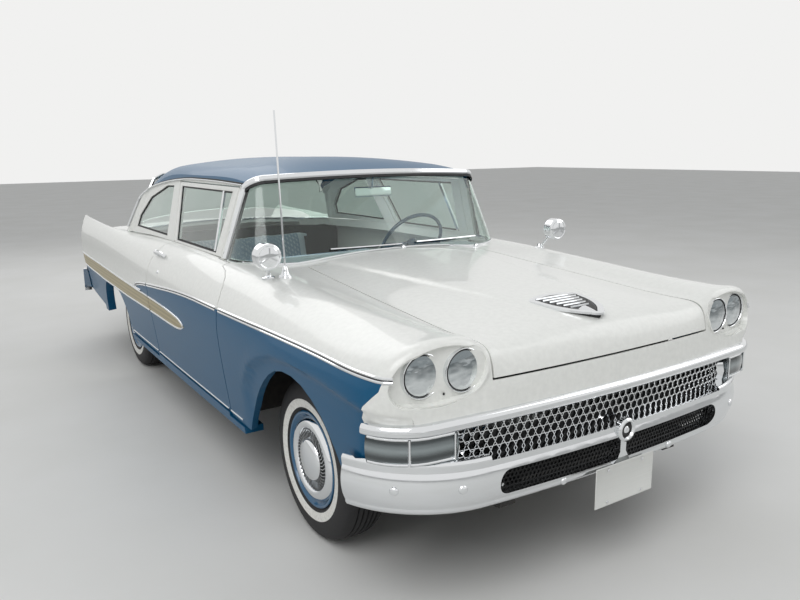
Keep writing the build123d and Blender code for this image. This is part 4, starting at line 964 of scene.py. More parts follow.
def side_strip(line, section, y_from, y_to, step=0.03):
    """A strip that lies on the left flank along a side-view line between two stations."""
    near = [p for p in spaced(line, step) if y_from <= p[0] <= y_to]
    points, outs = laid_on(SURFACES["skin"], [(1.4, y, z) for y, z in near], (-1, 0, 0))
    return sweep(section, placements(points, outs))


def box_block(low, high, bevel=0.0, segments=2, bm=None):
    """A block between two corners, its edges rounded."""
    bm = bm or bmesh.new()
    made = bmesh.ops.create_cube(bm, size=1)["verts"]
    size = [b - a for a, b in zip(low, high)]
    bmesh.ops.scale(bm, vec=size, verts=made)
    bmesh.ops.translate(bm, vec=[(a + b) / 2 for a, b in zip(low, high)], verts=made)
    if bevel:
        edges = list({e for v in made for e in v.link_edges})
        bmesh.ops.bevel(bm, geom=edges, offset=bevel, segments=segments, affect="EDGES", profile=0.5,
                        material=-1)
    return bm


# Wheels


TREAD_GROOVES = (-0.044, -0.022, 0.0, 0.022, 0.044)
WHITEWALL = (0.2125, 0.2475)
FIN_COUNT = 45
CAP_RECESS = (0.086, 0.1255)


def tyre_profile():
    """The tyre's closed section: distance outwards along the axle, and radius."""
    outer = mm([(60, 186), (75, 186), (75, 198), (83, 205), (86.2, 211.5), (88.5, 213), (92.5, 230),
                (94.5, 246.8), (93.5, 248), (94.4, 262), (93, 280), (89, 296), (84, 309), (78.5, 317),
                (72, 322.2), (65, 325.8)])
    tread = []
    for x in reversed(TREAD_GROOVES):
        top = 0.334 - 1.9 * x * x
        tread += [(x + 0.0035, top), (x + 0.0020, top - 0.0070), (x - 0.0020, top - 0.0070),
                  (x - 0.0035, top)]
    inner = [(-x, r) for x, r in reversed(outer)]
    hollow = mm([(-60, 206), (-80, 262), (-66, 306), (66, 306), (80, 262), (60, 206)])
    return outer + tread + inner + hollow


RIM_PROFILE = mm([(-84, 196), (-75, 196), (-75, 183), (-60, 183), (-45, 165), (45, 165), (60, 183), (75, 183),
                  (75, 195.5), (79, 198.5), (84, 197.5), (86.5, 193.5), (85, 187), (72, 179), (66, 174),
                  (50, 158), (40, 158), (34, 150), (34, 90), (22, 70), (22, 20.5), (-10, 20.5), (-10, 64),
                  (10, 64), (10, 80), (24, 98), (24, 158), (-50, 158), (-66, 174), (-84, 186)])
CAP_PROFILE = mm([(64, 173.5), (70, 173.5), (74, 170), (83, 164), (88.5, 156), (90.5, 148), (90, 140),
                  (87, 132), (83.5, 128), (80, 126.2), (77, 125), (76, 105), (77, 88), (86, 85.5),
                  (90.5, 83.5), (94, 79), (98.5, 66), (102, 50), (104.5, 33), (106, 16), (106.5, 0)])


def wheel_set(corner):
    """Tyre, painted rim and fluted cap of one wheel, which turn together."""
    x, y = WHEEL_PLACES[corner]
    side = 1 if x > 0 else -1
    centre, axis, body = (x, y, AXLE_Z), (side, 0, 0), f"wheel_{corner}_body"
    bm = lathe(tyre_profile(), centre, axis, (0, 0, 1), steps=96, closed=True)
    for face in bm.faces:
        middle = face.calc_center_median()
        radius = math.hypot(middle.y - y, middle.z - AXLE_Z)
        outward = side * (middle.x - x)
        face.material_index = int(WHITEWALL[0] < radius < WHITEWALL[1] and outward > 0.0865)
    place(bm, f"tyre_{corner}_tread", body, "rubber whitewall", (f"tyre_{corner}",))
    bm = lathe(RIM_PROFILE, centre, axis, (0, 0, 1), steps=72, closed=True)
    place(bm, f"wheel_{corner}_rim", body, "wheel_enamel", (f"wheel_{corner}",))
    bm = lathe(CAP_PROFILE, centre, axis, (0, 0, 1), steps=72)
    bmesh.ops.recalc_face_normals(bm, faces=bm.faces[:])
    if sum(f.normal.x * side for f in bm.faces) < 0:
        bmesh.ops.reverse_faces(bm, faces=bm.faces[:])
    for face in bm.faces:
        middle = face.calc_center_median()
        face.material_index = int(CAP_RECESS[0] < math.hypot(middle.y - y, middle.z - AXLE_Z) < CAP_RECESS[1])
    bmesh.ops.solidify(bm, geom=bm.faces[:], thickness=0.0012)
    place(bm, f"hub_cap_{corner}", body, "chrome dark")
    bm = bmesh.new()
    sweep_angle = math.radians(9)
    ring = []
    for share in (0, 0.5, 1):
        r = 0.0865 + 0.0370 * share
        turn = sweep_angle * share * share
        spot = Matrix.Rotation(turn, 4, "X") @ Matrix.Translation((0.0765, 0, r))
        ring.append(spot)
    fin = mm([(-2.2, -1), (-1.5, 8.5), (1.5, 8.5), (2.2, -1)])
    turned = Matrix(((0, 1, 0, 0), (1, 0, 0, 0), (0, 0, 1, 0), (0, 0, 0, 1)))
    sweep(fin, [spot @ turned for spot in ring], bm=bm)
    bmesh.ops.recalc_face_normals(bm, faces=bm.faces[:])
    bmesh.ops.spin(bm, geom=bm.verts[:] + bm.edges[:] + bm.faces[:], cent=(0, 0, 0), axis=(1, 0, 0),
                   angle=math.tau, steps=FIN_COUNT, use_duplicate=True)
    bmesh.ops.remove_doubles(bm, verts=bm.verts[:], dist=1e-6)
    if side < 0:
        bmesh.ops.rotate(bm, matrix=Matrix.Rotation(math.pi, 3, "Z"), verts=bm.verts[:])
    bmesh.ops.translate(bm, vec=centre, verts=bm.verts[:])
    place(bm, f"hub_cap_fins_{corner}", body, "chrome")


# Side trim


def band_section(width, rise):
    """A low rounded strip."""
    half = width / 2
    return [(-half, -0.001), (-half, 0.4 * rise), (-0.7 * half, 0.85 * rise), (-0.25 * half, rise),
            (0.25 * half, rise), (0.7 * half, 0.85 * rise), (half, 0.4 * rise), (half, -0.001)]


def twin_section(width, rise):
    """A strip with two bright beads and a groove between them."""
    half = width / 2
    return [(-half, -0.001), (-half, 0.5 * rise), (-0.6 * half, rise), (-0.22 * half, 0.75 * rise),
            (-0.14 * half, 0.2 * rise), (0.14 * half, 0.2 * rise), (0.22 * half, 0.75 * rise),
            (0.6 * half, rise),
            (half, 0.5 * rise), (half, -0.001)]


DOOR_EDGES = (-1.0565, 0.1685)
WING_END_Y = -1.0635
QUARTER_START_Y = 0.1755
FLANK_STRETCHES = [("wing", "chassis", -2.6, WING_END_Y), ("door", "door_{}_body", *DOOR_EDGES),
                   ("quarter", "chassis", QUARTER_START_Y, 2.6)]
HOOK_LINE = mm([(101, 793), (230, 781), (361, 766), (455, 748), (490, 732), (455, 722), (400, 722),
                (330, 724)])


def side_trim():
    """The strips along the flank, parted at the door's edges, and the gold spear between its beads."""
    sizes = bpy.context.scene.sedan_sizes
    upper = softened(STRIP_LINE[:-2] + HOOK_LINE[1:], 2)
    upper = [(y, z) for y, z in upper if y > -2.452]
    width = sizes.strip_width
    for label, body, y_from, y_to in FLANK_STRETCHES:
        spots = side_spots(SURFACES["skin"], [p for p in spaced(upper, 0.02) if y_from <= p[0] <= y_to])
        place_both(sweep(twin_section(width, 0.007), spots), f"side_strip_{label}", body, "chrome")
        groove = mm([(-1.6, 0), (-1.6, 2), (1.6, 2), (1.6, 0)])
        place_both(sweep(groove, spots), f"side_strip_groove_{label}", body, "seal")
    bead = band_section(0.012, 0.006)
    outline = softened(list(reversed(SPEAR_TOP)) + SPEAR_LOW[1:], 1)
    for label, body, y_from, y_to in FLANK_STRETCHES[1:]:
        gilt = SURFACES["skin_bmesh"].copy()
        trim(gilt, SPEAR_TOP + list(reversed(SPEAR_LOW)), "side", "inside")
        slice_off(gilt, (0, y_from, 0), (0, -1, 0))
        slice_off(gilt, (0, min(y_to, 2.37), 0), (0, 1, 0))
        slice_off(gilt, (0.7, 0, 0), (-1, 0, 0))
        bmesh.ops.remove_doubles(gilt, verts=gilt.verts[:], dist=2e-5)
        bmesh.ops.solidify(gilt, geom=gilt.faces[:], thickness=-0.0025)
        place_both(gilt, f"gold_spear_{label}", body, "gold")
        if label == "door":
            rows = [[p for p in spaced(outline, 0.02) if p[0] <= y_to]]
        else:
            rows = [[p for p in spaced(row,
                                       0.02) if y_from <= p[0] <= 2.37] for row in (SPEAR_TOP, SPEAR_LOW)]
        for i, row in enumerate(rows):
            name = f"spear_edge_{label}_{i}" if len(rows) > 1 else f"spear_edge_{label}"
            place_both(sweep(bead, side_spots(SURFACES["skin"], row)), name, body, "chrome")
    sill = [(-1.215, 0.372), (0.815, 0.372)]
    for label, body, y_from, y_to in FLANK_STRETCHES:
        strip = side_strip(sill, band_section(0.010, 0.004), y_from, y_to)
        place_both(strip, f"sill_strip_{label}", body, "chrome")


# Roof, frames and glass


def window_frames():
    """The doors' window frames, taken from the doors' own solids above the waist."""
    for side, s in (("l", 1), ("r", -1)):
        bm = bmesh.new()
        bm.from_mesh(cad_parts[f"door_{side}"].data)
        bmesh.ops.remove_doubles(bm, verts=bm.verts[:], dist=1e-6)
        slice_off(bm, (0, 0, 1.031), (0, 0, -1))
        slice_off(bm, (s * 0.806, 0, 0), (s, 0, 0))
        cut = [e for e in bm.edges if e.is_boundary]
        bmesh.ops.holes_fill(bm, edges=cut)
        place(bm, f"door_window_frame_{side}", f"door_{side}_body", "cream")


def drip_and_surrounds():
    """The drip rail along the roof's side, and a dark strip in its gutter as painted shade."""
    tree = node_surface("roof")
    line = softened(mm([(-735, 1386), (-315, 1396), (282, 1393), (876, 1332), (1093, 1262), (1150, 1225)]), 2)
    starts = [(1.2, y, z) for y, z in spaced(line, 0.03)]
    points, outs = laid_on(tree, starts, (-1, 0, 0))
    outs = [Vector((1, 0, 0.1)).normalized() for _ in outs]
    rail = mm([(-4, -4), (-4, 10), (-1, 14), (3, 14), (3, 10), (0.5, 9), (0.5, -4)])
    place_both(sweep(rail, placements(points, outs)), "drip_rail", "chassis", "chrome")
    # A dark strip beside the rail, painted shade in the gutter
    seal = mm([(3, -3), (3, 6), (10, 4), (10, -3)])
    place_both(sweep(seal, placements(points, outs)), "drip_channel", "chassis", "seal")


# The greenhouse in plan at two heights, as rows of arcs from the windscreen's middle round to the rear
GLASS_LOW_Z, GLASS_HIGH_Z = 0.985, 1.530
GLASS_LOW = mm([(0, -1062), (646, -998), (774, -916), (814, -727), (814, 1179), (753, 1460), (600, 1547),
                (0, 1611)])
GLASS_HIGH = mm([(0, -800), (585, -778), (636, -765), (645, -735), (645, 880), (636, 905), (585, 918),
                 (0, 930)])
SCREEN_TOP = mm([(-718, 1030), (-752, 1376), (-862, 1442), (-1200, 1442)])
BACK_TOP = mm([(1000, 1340), (1075, 1392), (1700, 1392)])
BACK_SIDE = mm([(1234, 1036), (1187, 1134), (1118, 1273), (1000, 1340)])


def glass_outline(z):
    """The greenhouse's left half in plan at one height: front points, then rear points, each middle first."""
    t = (z - GLASS_LOW_Z) / (GLASS_HIGH_Z - GLASS_LOW_Z)
    p = [(a + (c - a) * t, b + (d - b) * t) for (a, b), (c, d) in zip(GLASS_LOW, GLASS_HIGH)]
    front_left = (-p[1][0], p[1][1])
    rear_left = (-p[6][0], p[6][1])
    front = arc(front_left, p[0], p[1], 20)[10:] + arc(p[1], p[2], p[3], 8) + [p[3]]
    rear = arc(rear_left, p[7], p[6], 20)[10:] + arc(p[6], p[5], p[4], 8) + [p[4]]
    return front, rear


def glass_edge(which, line):
    """Where the greenhouse meets a side-view line, from the middle of the car outwards."""
    points = []
    for i in range(len(glass_outline(1.3)[which])):
        z = 1.4
        for _ in range(6):
            x, y = glass_outline(z)[which][i]
            z = 0.5 * z + 0.5 * line_height(line, y)
        points.append((x, y, z))
    return points


def whole_width(points):
    """Carries a row of left-hand points on across the middle to the right."""
    return [(-x, y, z) for x, y, z in reversed(points[1:])] + points


def glass_out(point):
    """Roughly outwards from the greenhouse."""
    x, y, _ = point
    middle = -0.2 if y < 0 else 0.5
    return Vector((1.1 * x, y - middle if abs(y - middle) > 0.3 else 0, 0.45)).normalized()


def surround(name, points, section, finish):
    """A strip round a window, from its points."""
    spots = placements([Vector(p) for p in points], [glass_out(p) for p in points])
    place(sweep(section, spots), name, "chassis", finish)


def base_trim(window, line, shift, ray_shift, otherwise):
    """A bright strip across the foot of a window, on the skin."""
    section = mm([(-12, -6), (-12, 4), (-5, 9), (6, 8), (12, 0), (12, -6)])
    row = [(x, y + shift, skin_z(max(x, 0.002), y + ray_shift, otherwise) + 0.002) for x, y in line]
    place(held(section, whole_width(row), (0, 0, 1)), f"{window}_base_trim", "chassis", "chrome")


def glazing():
    """Bright surrounds, seals and the vent windows' uprights."""
    front = glass_edge(0, SCREEN_TOP)
    side = [p for p in front if p[1] < -0.75]
    pillar = []
    for y, z in spaced(SCREEN_TOP[:2], 0.04):
        t = (z - GLASS_LOW_Z) / (GLASS_HIGH_Z - GLASS_LOW_Z)
        pillar.append((0.814 - 0.169 * t - 0.001, y - 0.004, z))
    row = whole_width(side + list(reversed(pillar)))
    bright = mm([(-16, -4), (-16, 5), (-10, 10), (10, 10), (16, 5), (16, -4)])
    surround("windscreen_surround", row, bright, "chrome")
    dark = mm([(-30, -4), (-30, 3), (-16, 3), (-16, -4)])
    surround("windscreen_seal", row, dark, "seal")
    around = arcs(CABIN_ARCS)
    base_trim("windscreen", [p for p in around if p[1] < -0.715], -0.006, -0.012, 1.038)

    rear = [p for p in glass_edge(1, BACK_TOP) if p[0] < 0.6] + [(0.648, 1.079, 1.366)]
    back = []
    for y, z in spaced(list(reversed(BACK_SIDE)), 0.04):
        point, _ = meet(SURFACES["roof"], (BESIDE_CAR, y - 0.01, z), (-1, 0, 0))
        if point and z < 1.31:
            back.append((point.x, y, z))
    row = whole_width(rear + back)
    surround("rear_window_surround", row, bright, "chrome")
    base_trim("rear_window", [p for p in reversed(around) if p[1] > 1.2], 0.004, 0.012, 1.018)

    post = mm([(-11, -10), (-11, 4), (-6, 7), (6, 7), (11, 4), (11, -10)])
    rubber = mm([(-6, -6), (-6, 3), (6, 3), (6, -6)])
    upright = [(-0.546, 1.046), (-0.471, 1.346)]
    pane = mm([(-572, 1046), (-608, 1346), (247, 1346), (112, 1046), (-572, 1046)])
    quarter = mm([(320, 1052), (413, 1343), (560, 1337), (640, 1314), (872, 1252), (1044, 1122),
                  (1058, 1052), (320, 1052)])
    for name, node, body, line, step, section, finish in (
            ("vent_upright", "door_glass_l", "door_{}_body", upright, 0.03, post, "chrome"),
            ("door_glass_seal", "door_glass_l", "door_{}_body", pane, 0.04, rubber, "seal"),
            ("quarter_glass_seal", "quarter_glass", "chassis", quarter, 0.04, rubber, "seal")):
        place_both(sweep(section, side_spots(node_surface(node), spaced(line, step))), name, body, finish)


# Front end


def nose_y(x):
    """The mesh's distance ahead, which bows across the nose and wraps near its ends."""
    return -2.503 + x * x / 12.1 + 1.5 * max(0, abs(x) - 0.56) ** 2


# Rows of hexagons stand closer than the cells within a row, by half the square root of three
HONEYCOMB_ROW_STEP = 0.866


def near_boss(x, z):
    """Whether a cell would stand in the boss at the middle of the bars."""
    return math.hypot(x, z - 0.556) < 0.034


def honeycomb(cell, wire, deep, x_half, z_low, z_high, y_shift, skip):
    """Rows of six-sided wire cells on the bow of the nose."""
    one = bmesh.new()
    bmesh.ops.create_circle(one, cap_ends=True, segments=6, radius=cell / math.sqrt(3))
    bmesh.ops.inset_region(one, faces=one.faces[:], thickness=wire, use_boundary=True, use_even_offset=True)
    middle = min(one.faces, key=lambda f: f.calc_center_median().length)
    bmesh.ops.delete(one, geom=[middle], context="FACES_ONLY")
    made = bmesh.ops.extrude_face_region(one, geom=one.faces[:])["geom"]
    moved = [g for g in made if isinstance(g, bmesh.types.BMVert)]
    bmesh.ops.translate(one, vec=(0, 0, deep), verts=moved)
    bmesh.ops.rotate(one, matrix=Matrix.Rotation(math.radians(90), 3, "X"), verts=one.verts[:])
    bmesh.ops.rotate(one, matrix=Matrix.Rotation(math.radians(30), 3, "Y"), verts=one.verts[:])
    mesh = bpy.data.meshes.new("cell")
    one.to_mesh(mesh)
    one.free()
    bm = bmesh.new()
    row_step = cell * HONEYCOMB_ROW_STEP
    rows = int((z_high - z_low) / row_step) + 2
    columns = int(2 * x_half / cell) + 2
    for r in range(rows):
        for c in range(columns):
            x = -x_half + cell * (c + 0.5 * (r % 2))
            z = z_low + row_step * r
            if abs(x) > x_half or z > z_high or skip(x, z):
                continue
            before = set(bm.verts)
            bm.from_mesh(mesh)
            fresh = [v for v in bm.verts if v not in before]
            bmesh.ops.translate(bm, vec=(x, nose_y(x) + y_shift, z), verts=fresh)
    bpy.data.meshes.remove(mesh)
    return bm


def grille():
    """The honeycomb between the bars, the finer mesh in the bumper's mouth, and a dark sheet behind them as
    painted shade.
    """
    upper = honeycomb(0.033, 0.0026, 0.012, 0.715, 0.590, 0.688, 0.006, near_boss)
    place(upper, "grille_honeycomb", "chassis", "chrome", ("grille_mesh",))
    lower = honeycomb(0.017, 0.0016, 0.006, 0.570, 0.440, 0.540, 0.004, lambda x, z: False)
    place(lower, "grille_lower_mesh", "chassis", "dark")
    # A dark sheet behind the honeycomb, standing in for the shade inside the nose
    row = [(x, nose_y(x) + 0.050, 0.56) for x in (i * 0.05 for i in range(-15, 16))]
    shade_sheet = mm([(-125, 0), (-125, 4), (130, 4), (130, 0)])
    place(held(shade_sheet, row, (0, -1, 0)), "grille_backing", "chassis", "dark")
    ring = mm([(0, 15), (3, 15.5), (4, 17.5), (4, 24.5), (3, 26.2), (0, 26.8)])
    place(lathe(ring, (0, -2.5560, 0.556), (0, -1, 0), (0, 0, 1), 48), "boss_dark_ring", "chassis", "seal")
    dress("chrome", "grille_bars", "front_bumper", "rear_bumper")


def headlamp_trim():
    """Bright rings over the lamps' edges, and one dark screw between each pair."""
    ring = mm([(-14, 72.8), (-2, 73.1), (2.5, 72.2), (3.5, 70.4), (1.5, 68.8), (-6, 67.2), (-14, 67.2)])
    bm = bmesh.new()
    for x, y in ((0.795, -2.436), (0.650, -2.458)):
        lathe(ring, (x, y + 0.011, 0.867), (0, -1, 0), (0, 0, 1), 64, closed=True, bm=bm)
    place_both(bm, "headlamp_ring", "chassis", "chrome")
    gasket = mm([(-14, 67.2), (-1, 67.6), (1, 66), (1, 64), (-14, 64)])
    bm = bmesh.new()
    for x, y in ((0.795, -2.436), (0.650, -2.458)):
        lathe(gasket, (x, y + 0.011, 0.867), (0, -1, 0), (0, 0, 1), 64, closed=True, bm=bm)
    place_both(bm, "headlamp_gasket", "chassis", "seal")
    screw = mm([(0, 4.2), (2, 4), (3, 2.8), (3.4, 0)])
    bm = lathe(screw, (0.722, -2.4365, 0.800), (0, -1, 0), (0, 0, 1), 16)
    place_both(bm, "lamp_screw", "chassis", "seal")
    dress("lamp_glass", "headlamps")
    dress("parking_glass", "parking_lamps")
    dress("cream", "headlamp_bezels")


def parking_trim():
    """Bright rims above and below each parking lamp, its divider and the wedge at its inner end."""
    tree = node_surface("parking_lamps")
    thin = mm([(-4, -3), (-4, 4), (0, 6), (4, 4), (4, -3)])
    bm = bmesh.new()
    for z in (0.600, 0.682):
        points, outs = [], []
        for i in range(25):
            middle, turn = Vector((0.50, -2.0, z)), math.radians(8 + 76 * i / 24)
            start = Vector((0.50 + 0.9 * math.sin(turn), -2.0 - 0.9 * math.cos(turn), z))
            point, _ = meet(tree, start, middle - start)
            if point and point.x > 0.705 and (not points or (point - points[-1]).length > 0.004):
                points.append(point)
                outs.append((start - middle).normalized())
        sweep(thin, placements(points, outs), bm=bm)
    for x in (0.712, 0.862):
        point, _ = meet(tree, (x, -3, 0.640), (0, 1, 0))
        held(thin, [point + Vector((0, 0, up)) for up in (-0.044, 0, 0.044)], (0, -1, 0), bm)
    wedge = [(0.690, -2.452, 0.594), (0.690, -2.460, 0.630), (0.690, -2.452, 0.662)]
    held(mm([(-22, -4), (0, 18), (22, -4)]), wedge, (0, -1, 0), bm)
    place_both(bm, "parking_lamp_rim", "chassis", "chrome")


def front_fittings():
    """Bumper bolts, and the bare number plates with their screws."""
    bolt = mm([(0, 15), (2, 14.8), (5, 12.5), (7.5, 8), (8.5, 0)])
    tree = node_surface("front_bumper")
    bm = bmesh.new()
    for x, z in ((-0.700, 0.500), (0.700, 0.500), (-0.885, 0.500), (0.885, 0.500), (-0.28, 0.424),
                 (0.28, 0.424)):
        point, out = meet(tree, (x, -3, z), (0, 1, 0))
        lathe(bolt, point - out * 0.001, out, (0, 0, 1), 20, bm=bm)
    place(bm, "bumper_bolts", "chassis", "chrome")
    plate(-2.5615, 0.365, -1, "front")
    plate(2.556, 0.515, 1, "rear")


def plate(y, z, facing, name):
    """A bare number plate, 305 by 152 mm with a raised edge, and its four bright screws."""
    half_w, half_h = 0.1525, 0.076
    bm = box_block((-half_w, min(y, y - facing * 0.0016), z - half_h),
                   (half_w, max(y, y - facing * 0.0016), z + half_h),
                   0.012 * 0.05)
    front = max(bm.faces, key=lambda f: facing * f.normal.y * f.calc_area())
    bmesh.ops.inset_region(bm, faces=[front], thickness=0.005, depth=0.0)
    bmesh.ops.inset_region(bm, faces=[front], thickness=0.002, depth=-0.001)
    place(bm, f"number_plate_{name}", "chassis", "plate")
    bm = bmesh.new()
    for x in (-0.089, 0.089):
        for up in (-1, 1):
            lathe(mm([(0, 6), (2, 5.5), (3, 3), (3.2, 0)]), (x, y, z + up * 0.060),
                  (0, facing, 0), (0, 0, 1), 16, bm=bm)
    place(bm, f"plate_screws_{name}", "chassis", "chrome")


# Fittings outside


def door_furniture():
    """Bar handles with a push button, and a lock below each."""
    tree = SURFACES["skin"]
    section = mm([(-10, -2), (-11, 4), (-6, 10), (4, 11), (10, 6), (10, -2)])
    row = mm([(-50, 4), (-35, 20), (-15, 28), (30, 30), (75, 28), (100, 20), (118, 4)])
    points, outs = [], []
    for y, rise in softened(row, 1):
        point, out = meet(tree, (BESIDE_CAR, y, 0.968), (-1, 0, 0))
        points.append(point + out * rise)
        outs.append(out)
    bm = sweep(section, placements(points, outs))
    for y, z, radius, high in ((0.096, 0.968, 0.013, 0.034), (-0.042, 0.888, 0.010, 0.006)):
        point, out = meet(tree, (BESIDE_CAR, y, z), (-1, 0, 0))
        lathe([(-0.002, radius), (high - 0.003, radius), (high - 0.001, 0.85 * radius), (high, 0.5 * radius),
               (high, 0.0)], point, out, (0, 0, 1), 24, bm=bm)
    place_both(bm, "door_handle", "door_{}_body", "chrome")


def mirrors_and_aerial():
    """Round mirrors on the wings with a pressed spoke pattern on the back, and the aerial's foot."""
    dress("chrome", "aerial", "fender_mirrors")
    bm = bmesh.new()
    back = mm([(0, 56.5), (6, 57.5), (12, 55), (15, 48), (13, 44), (16.5, 36), (18.5, 20), (19.5, 0)])
    lathe(back, (0.833, -1.350, 1.115), (0, -1, 0), (0, 0, 1), 48, bm=bm)
    for turn in (0, 120, 240):
        spot = Matrix.Translation((0.833, -1.3660, 1.115)) @ Matrix.Rotation(math.radians(turn), 4, "Y")
        points = [spot @ Vector((0, -0.002, r)) for r in (0.006, 0.022, 0.038)]
        held(mm([(-4, -3), (-3, 2), (3, 2), (4, -3)]), points, (0, -1, 0), bm)
    place_both(bm, "fender_mirror_back", "chassis", "chrome")
    face = mm([(0, 56), (3, 55), (1.5, 53), (0.5, 0)])
    bm = lathe(face, (0.833, -1.3105, 1.115), (0, 1, 0), (0, 0, 1), 48)
    place_both(bm, "fender_mirror_glass", "chassis", "mirror")
    foot = mm([(-20, 30), (2, 30), (8, 26), (14, 19), (30, 15), (45, 11), (50, 6), (52, 0)])
    place(lathe(foot, (-0.730, -1.285, skin_z(0.730, -1.285)), (0, 0, 1), (1, 0, 0), 32), "aerial_foot",
          "chassis", "chrome")
    foot = mm([(-10, 30), (1, 30), (4, 26), (7, 16), (16, 11), (22, 9)])
    place_both(lathe(foot, (0.797, -1.257, skin_z(0.797, -1.257)), (0, 0, 1), (1, 0, 0), 32), "mirror_foot",
               "chassis", "chrome")


def wipers():
    """Two bright arms with their blades, lying across the foot of the windscreen."""
    tree = node_surface("windscreen")
    thin = mm([(-3, -2), (-3, 2), (3, 2), (3, -2)])
    wide = mm([(-4, -4), (-2, 5), (2, 5), (4, -4)])
    post = mm([(-20, 14), (8, 13), (14, 10), (20, 4), (21, 0)])
    for name, pivot, tip in (("left", 0.555, 0.14), ("right", 0.04, -0.36)):
        arm, blade = [], []
        for share in [i / 12 for i in range(13)]:
            point, out = meet(tree, (pivot + (tip - pivot) * share, -2, 1.060 + 0.006 * share), (0, 1, 0))
            if point is None:
                continue
            arm.append((point + out * (0.022 - 0.010 * share), out))
            if share > 0.25:
                blade.append((point + out * 0.005, out))
        place(sweep(thin, placements(*zip(*arm))), f"wiper_arm_{name}", "chassis", "chrome")
        place(sweep(wide, placements(*zip(*blade))), f"wiper_blade_{name}", "chassis", "seal")
        y = arm[0][0].y - 0.012
        foot = (pivot, y, skin_z(abs(pivot), y, 1.045))
        place(lathe(post, foot, (0, 0, 1), (1, 0, 0), 24), f"wiper_post_{name}", "chassis", "chrome")


SCOOP_HALF = mm([(0, -2134), (60, -2142), (105, -2160), (124, -2180), (127, -2208), (116, -2260), (98, -2320),
                 (68, -2365), (34, -2400), (0, -2422)])


def hood_details():
    """The ornament's dark bed, its bright louvres and the wedge near its tip."""
    dress("chrome", "hood_scoop")

    def over_hood(x, y, rise):
        return Vector((x, y, skin_z(abs(x) + 0.001, y) + rise))

    bed = SURFACES["skin_bmesh"].copy()
    trim(bed, [(0.92 * x, -2.27 + 0.94 * (y + 2.27)) for x, y in SCOOP_HALF] + [(-0.1, -2.40), (-0.1, -2.14)],
         "plan", "inside")
    slice_off(bed, (0, 0, 0.90), (0, 0, -1))
    bmesh.ops.translate(bed, vec=(0, 0, 0.0045), verts=bed.verts[:])
    other = mirrored_copy(bed)
    mesh = bpy.data.meshes.new("other_half")
    other.to_mesh(mesh)
    other.free()
    bed.from_mesh(mesh)
    bpy.data.meshes.remove(mesh)
    bmesh.ops.remove_doubles(bed, verts=bed.verts[:], dist=1e-4)
    bmesh.ops.solidify(bed, geom=bed.faces[:], thickness=0.002)
    place(bed, "hood_scoop_bed", "hood_body", "dark")
    bm = bmesh.new()
    for i in range(6):
        y = -2.176 - 0.026 * i
        half = 0.098 - 0.010 * i
        points = [over_hood(x, y, 0.007) for x in (-half, -half / 2, 0, half / 2, half)]
        sweep(mm([(-7, -2), (-6, 5), (1, 2), (7, -2)]),
              placements(points, [Vector((0, 0, 1))] * 5), bm=bm)
    wedge = [over_hood(x, y, 0.006) for x, y in ((0, -2.395), (0, -2.365), (0, -2.330))]
    sweep(mm([(-26, -2), (-8, 9), (8, 9), (26, -2)]),
          placements(wedge, [Vector((0, 0, 1))] * 3), bm=bm)
    place(bm, "hood_scoop_louvres", "hood_body", "chrome")


# Cabin


def cushion(low, high, lean, channels, bulge):
    """A crowned upholstered block, sewn into channels along the car, leaned back about its lower edge."""
    bm = box_block(low, high)
    long_edges = [e for e in bm.edges if abs(e.verts[0].co.x - e.verts[1].co.x) > 0.3]
    bmesh.ops.subdivide_edges(bm, edges=long_edges, cuts=channels * 3 - 1, use_grid_fill=True)
    others = [e for e in bm.edges if abs(e.verts[0].co.x - e.verts[1].co.x) < 1e-4]
    bmesh.ops.subdivide_edges(bm, edges=others, cuts=5, use_grid_fill=True)
    centre = (Vector(low) + Vector(high)) / 2
    half = (Vector(high) - Vector(low)) / 2
    thin = 2 if half.z < half.y else 1
    for vert in bm.verts:
        p = vert.co - centre
        share = [p[i] / half[i] for i in range(3)]
        wide = [i for i in range(3) if i != thin]
        crown = (1 - share[wide[0]] ** 4) * (1 - share[wide[1]] ** 4)
        rows = (share[0] + 1) / 2 * channels
        seam = abs(rows - round(rows))
        groove = 0.010 * max(0, 1 - seam / 0.12) if 0.3 < rows < channels - 0.3 else 0
        vert.co[thin] += (1 if share[thin] > 0 else -1) * abs(share[thin]) * (bulge * crown - groove * crown)
    pivot = Vector((0, high[1] if thin == 1 else low[1], low[2]))
    bmesh.ops.rotate(bm, cent=pivot, matrix=Matrix.Rotation(math.radians(lean), 3, "X"), verts=bm.verts[:])
    return bm


def swell(piece, cap):
    """Fills a cushion with air: a cloth run with pressure, its movement capped."""
    before = [v.co.copy() for v in piece.data.vertices]
    cloth = piece.modifiers.new("fill", "CLOTH")
    cloth.settings.use_pressure = True
    cloth.settings.uniform_pressure_force = 2.0
    cloth.settings.effector_weights.gravity = 0
    cloth.settings.quality = 4
    scene = bpy.context.scene
    for step in range(1, 13):
        scene.frame_set(step)
    after = piece.evaluated_get(bpy.context.evaluated_depsgraph_get()).data
    moved = [after.vertices[i].co.copy() for i in range(len(before))]
    piece.modifiers.clear()
    scene.frame_set(1)
    for vert, start, end in zip(piece.data.vertices, before, moved):
        shift = end - start
        if shift.length > cap:
            shift *= cap / shift.length
        vert.co = start + shift


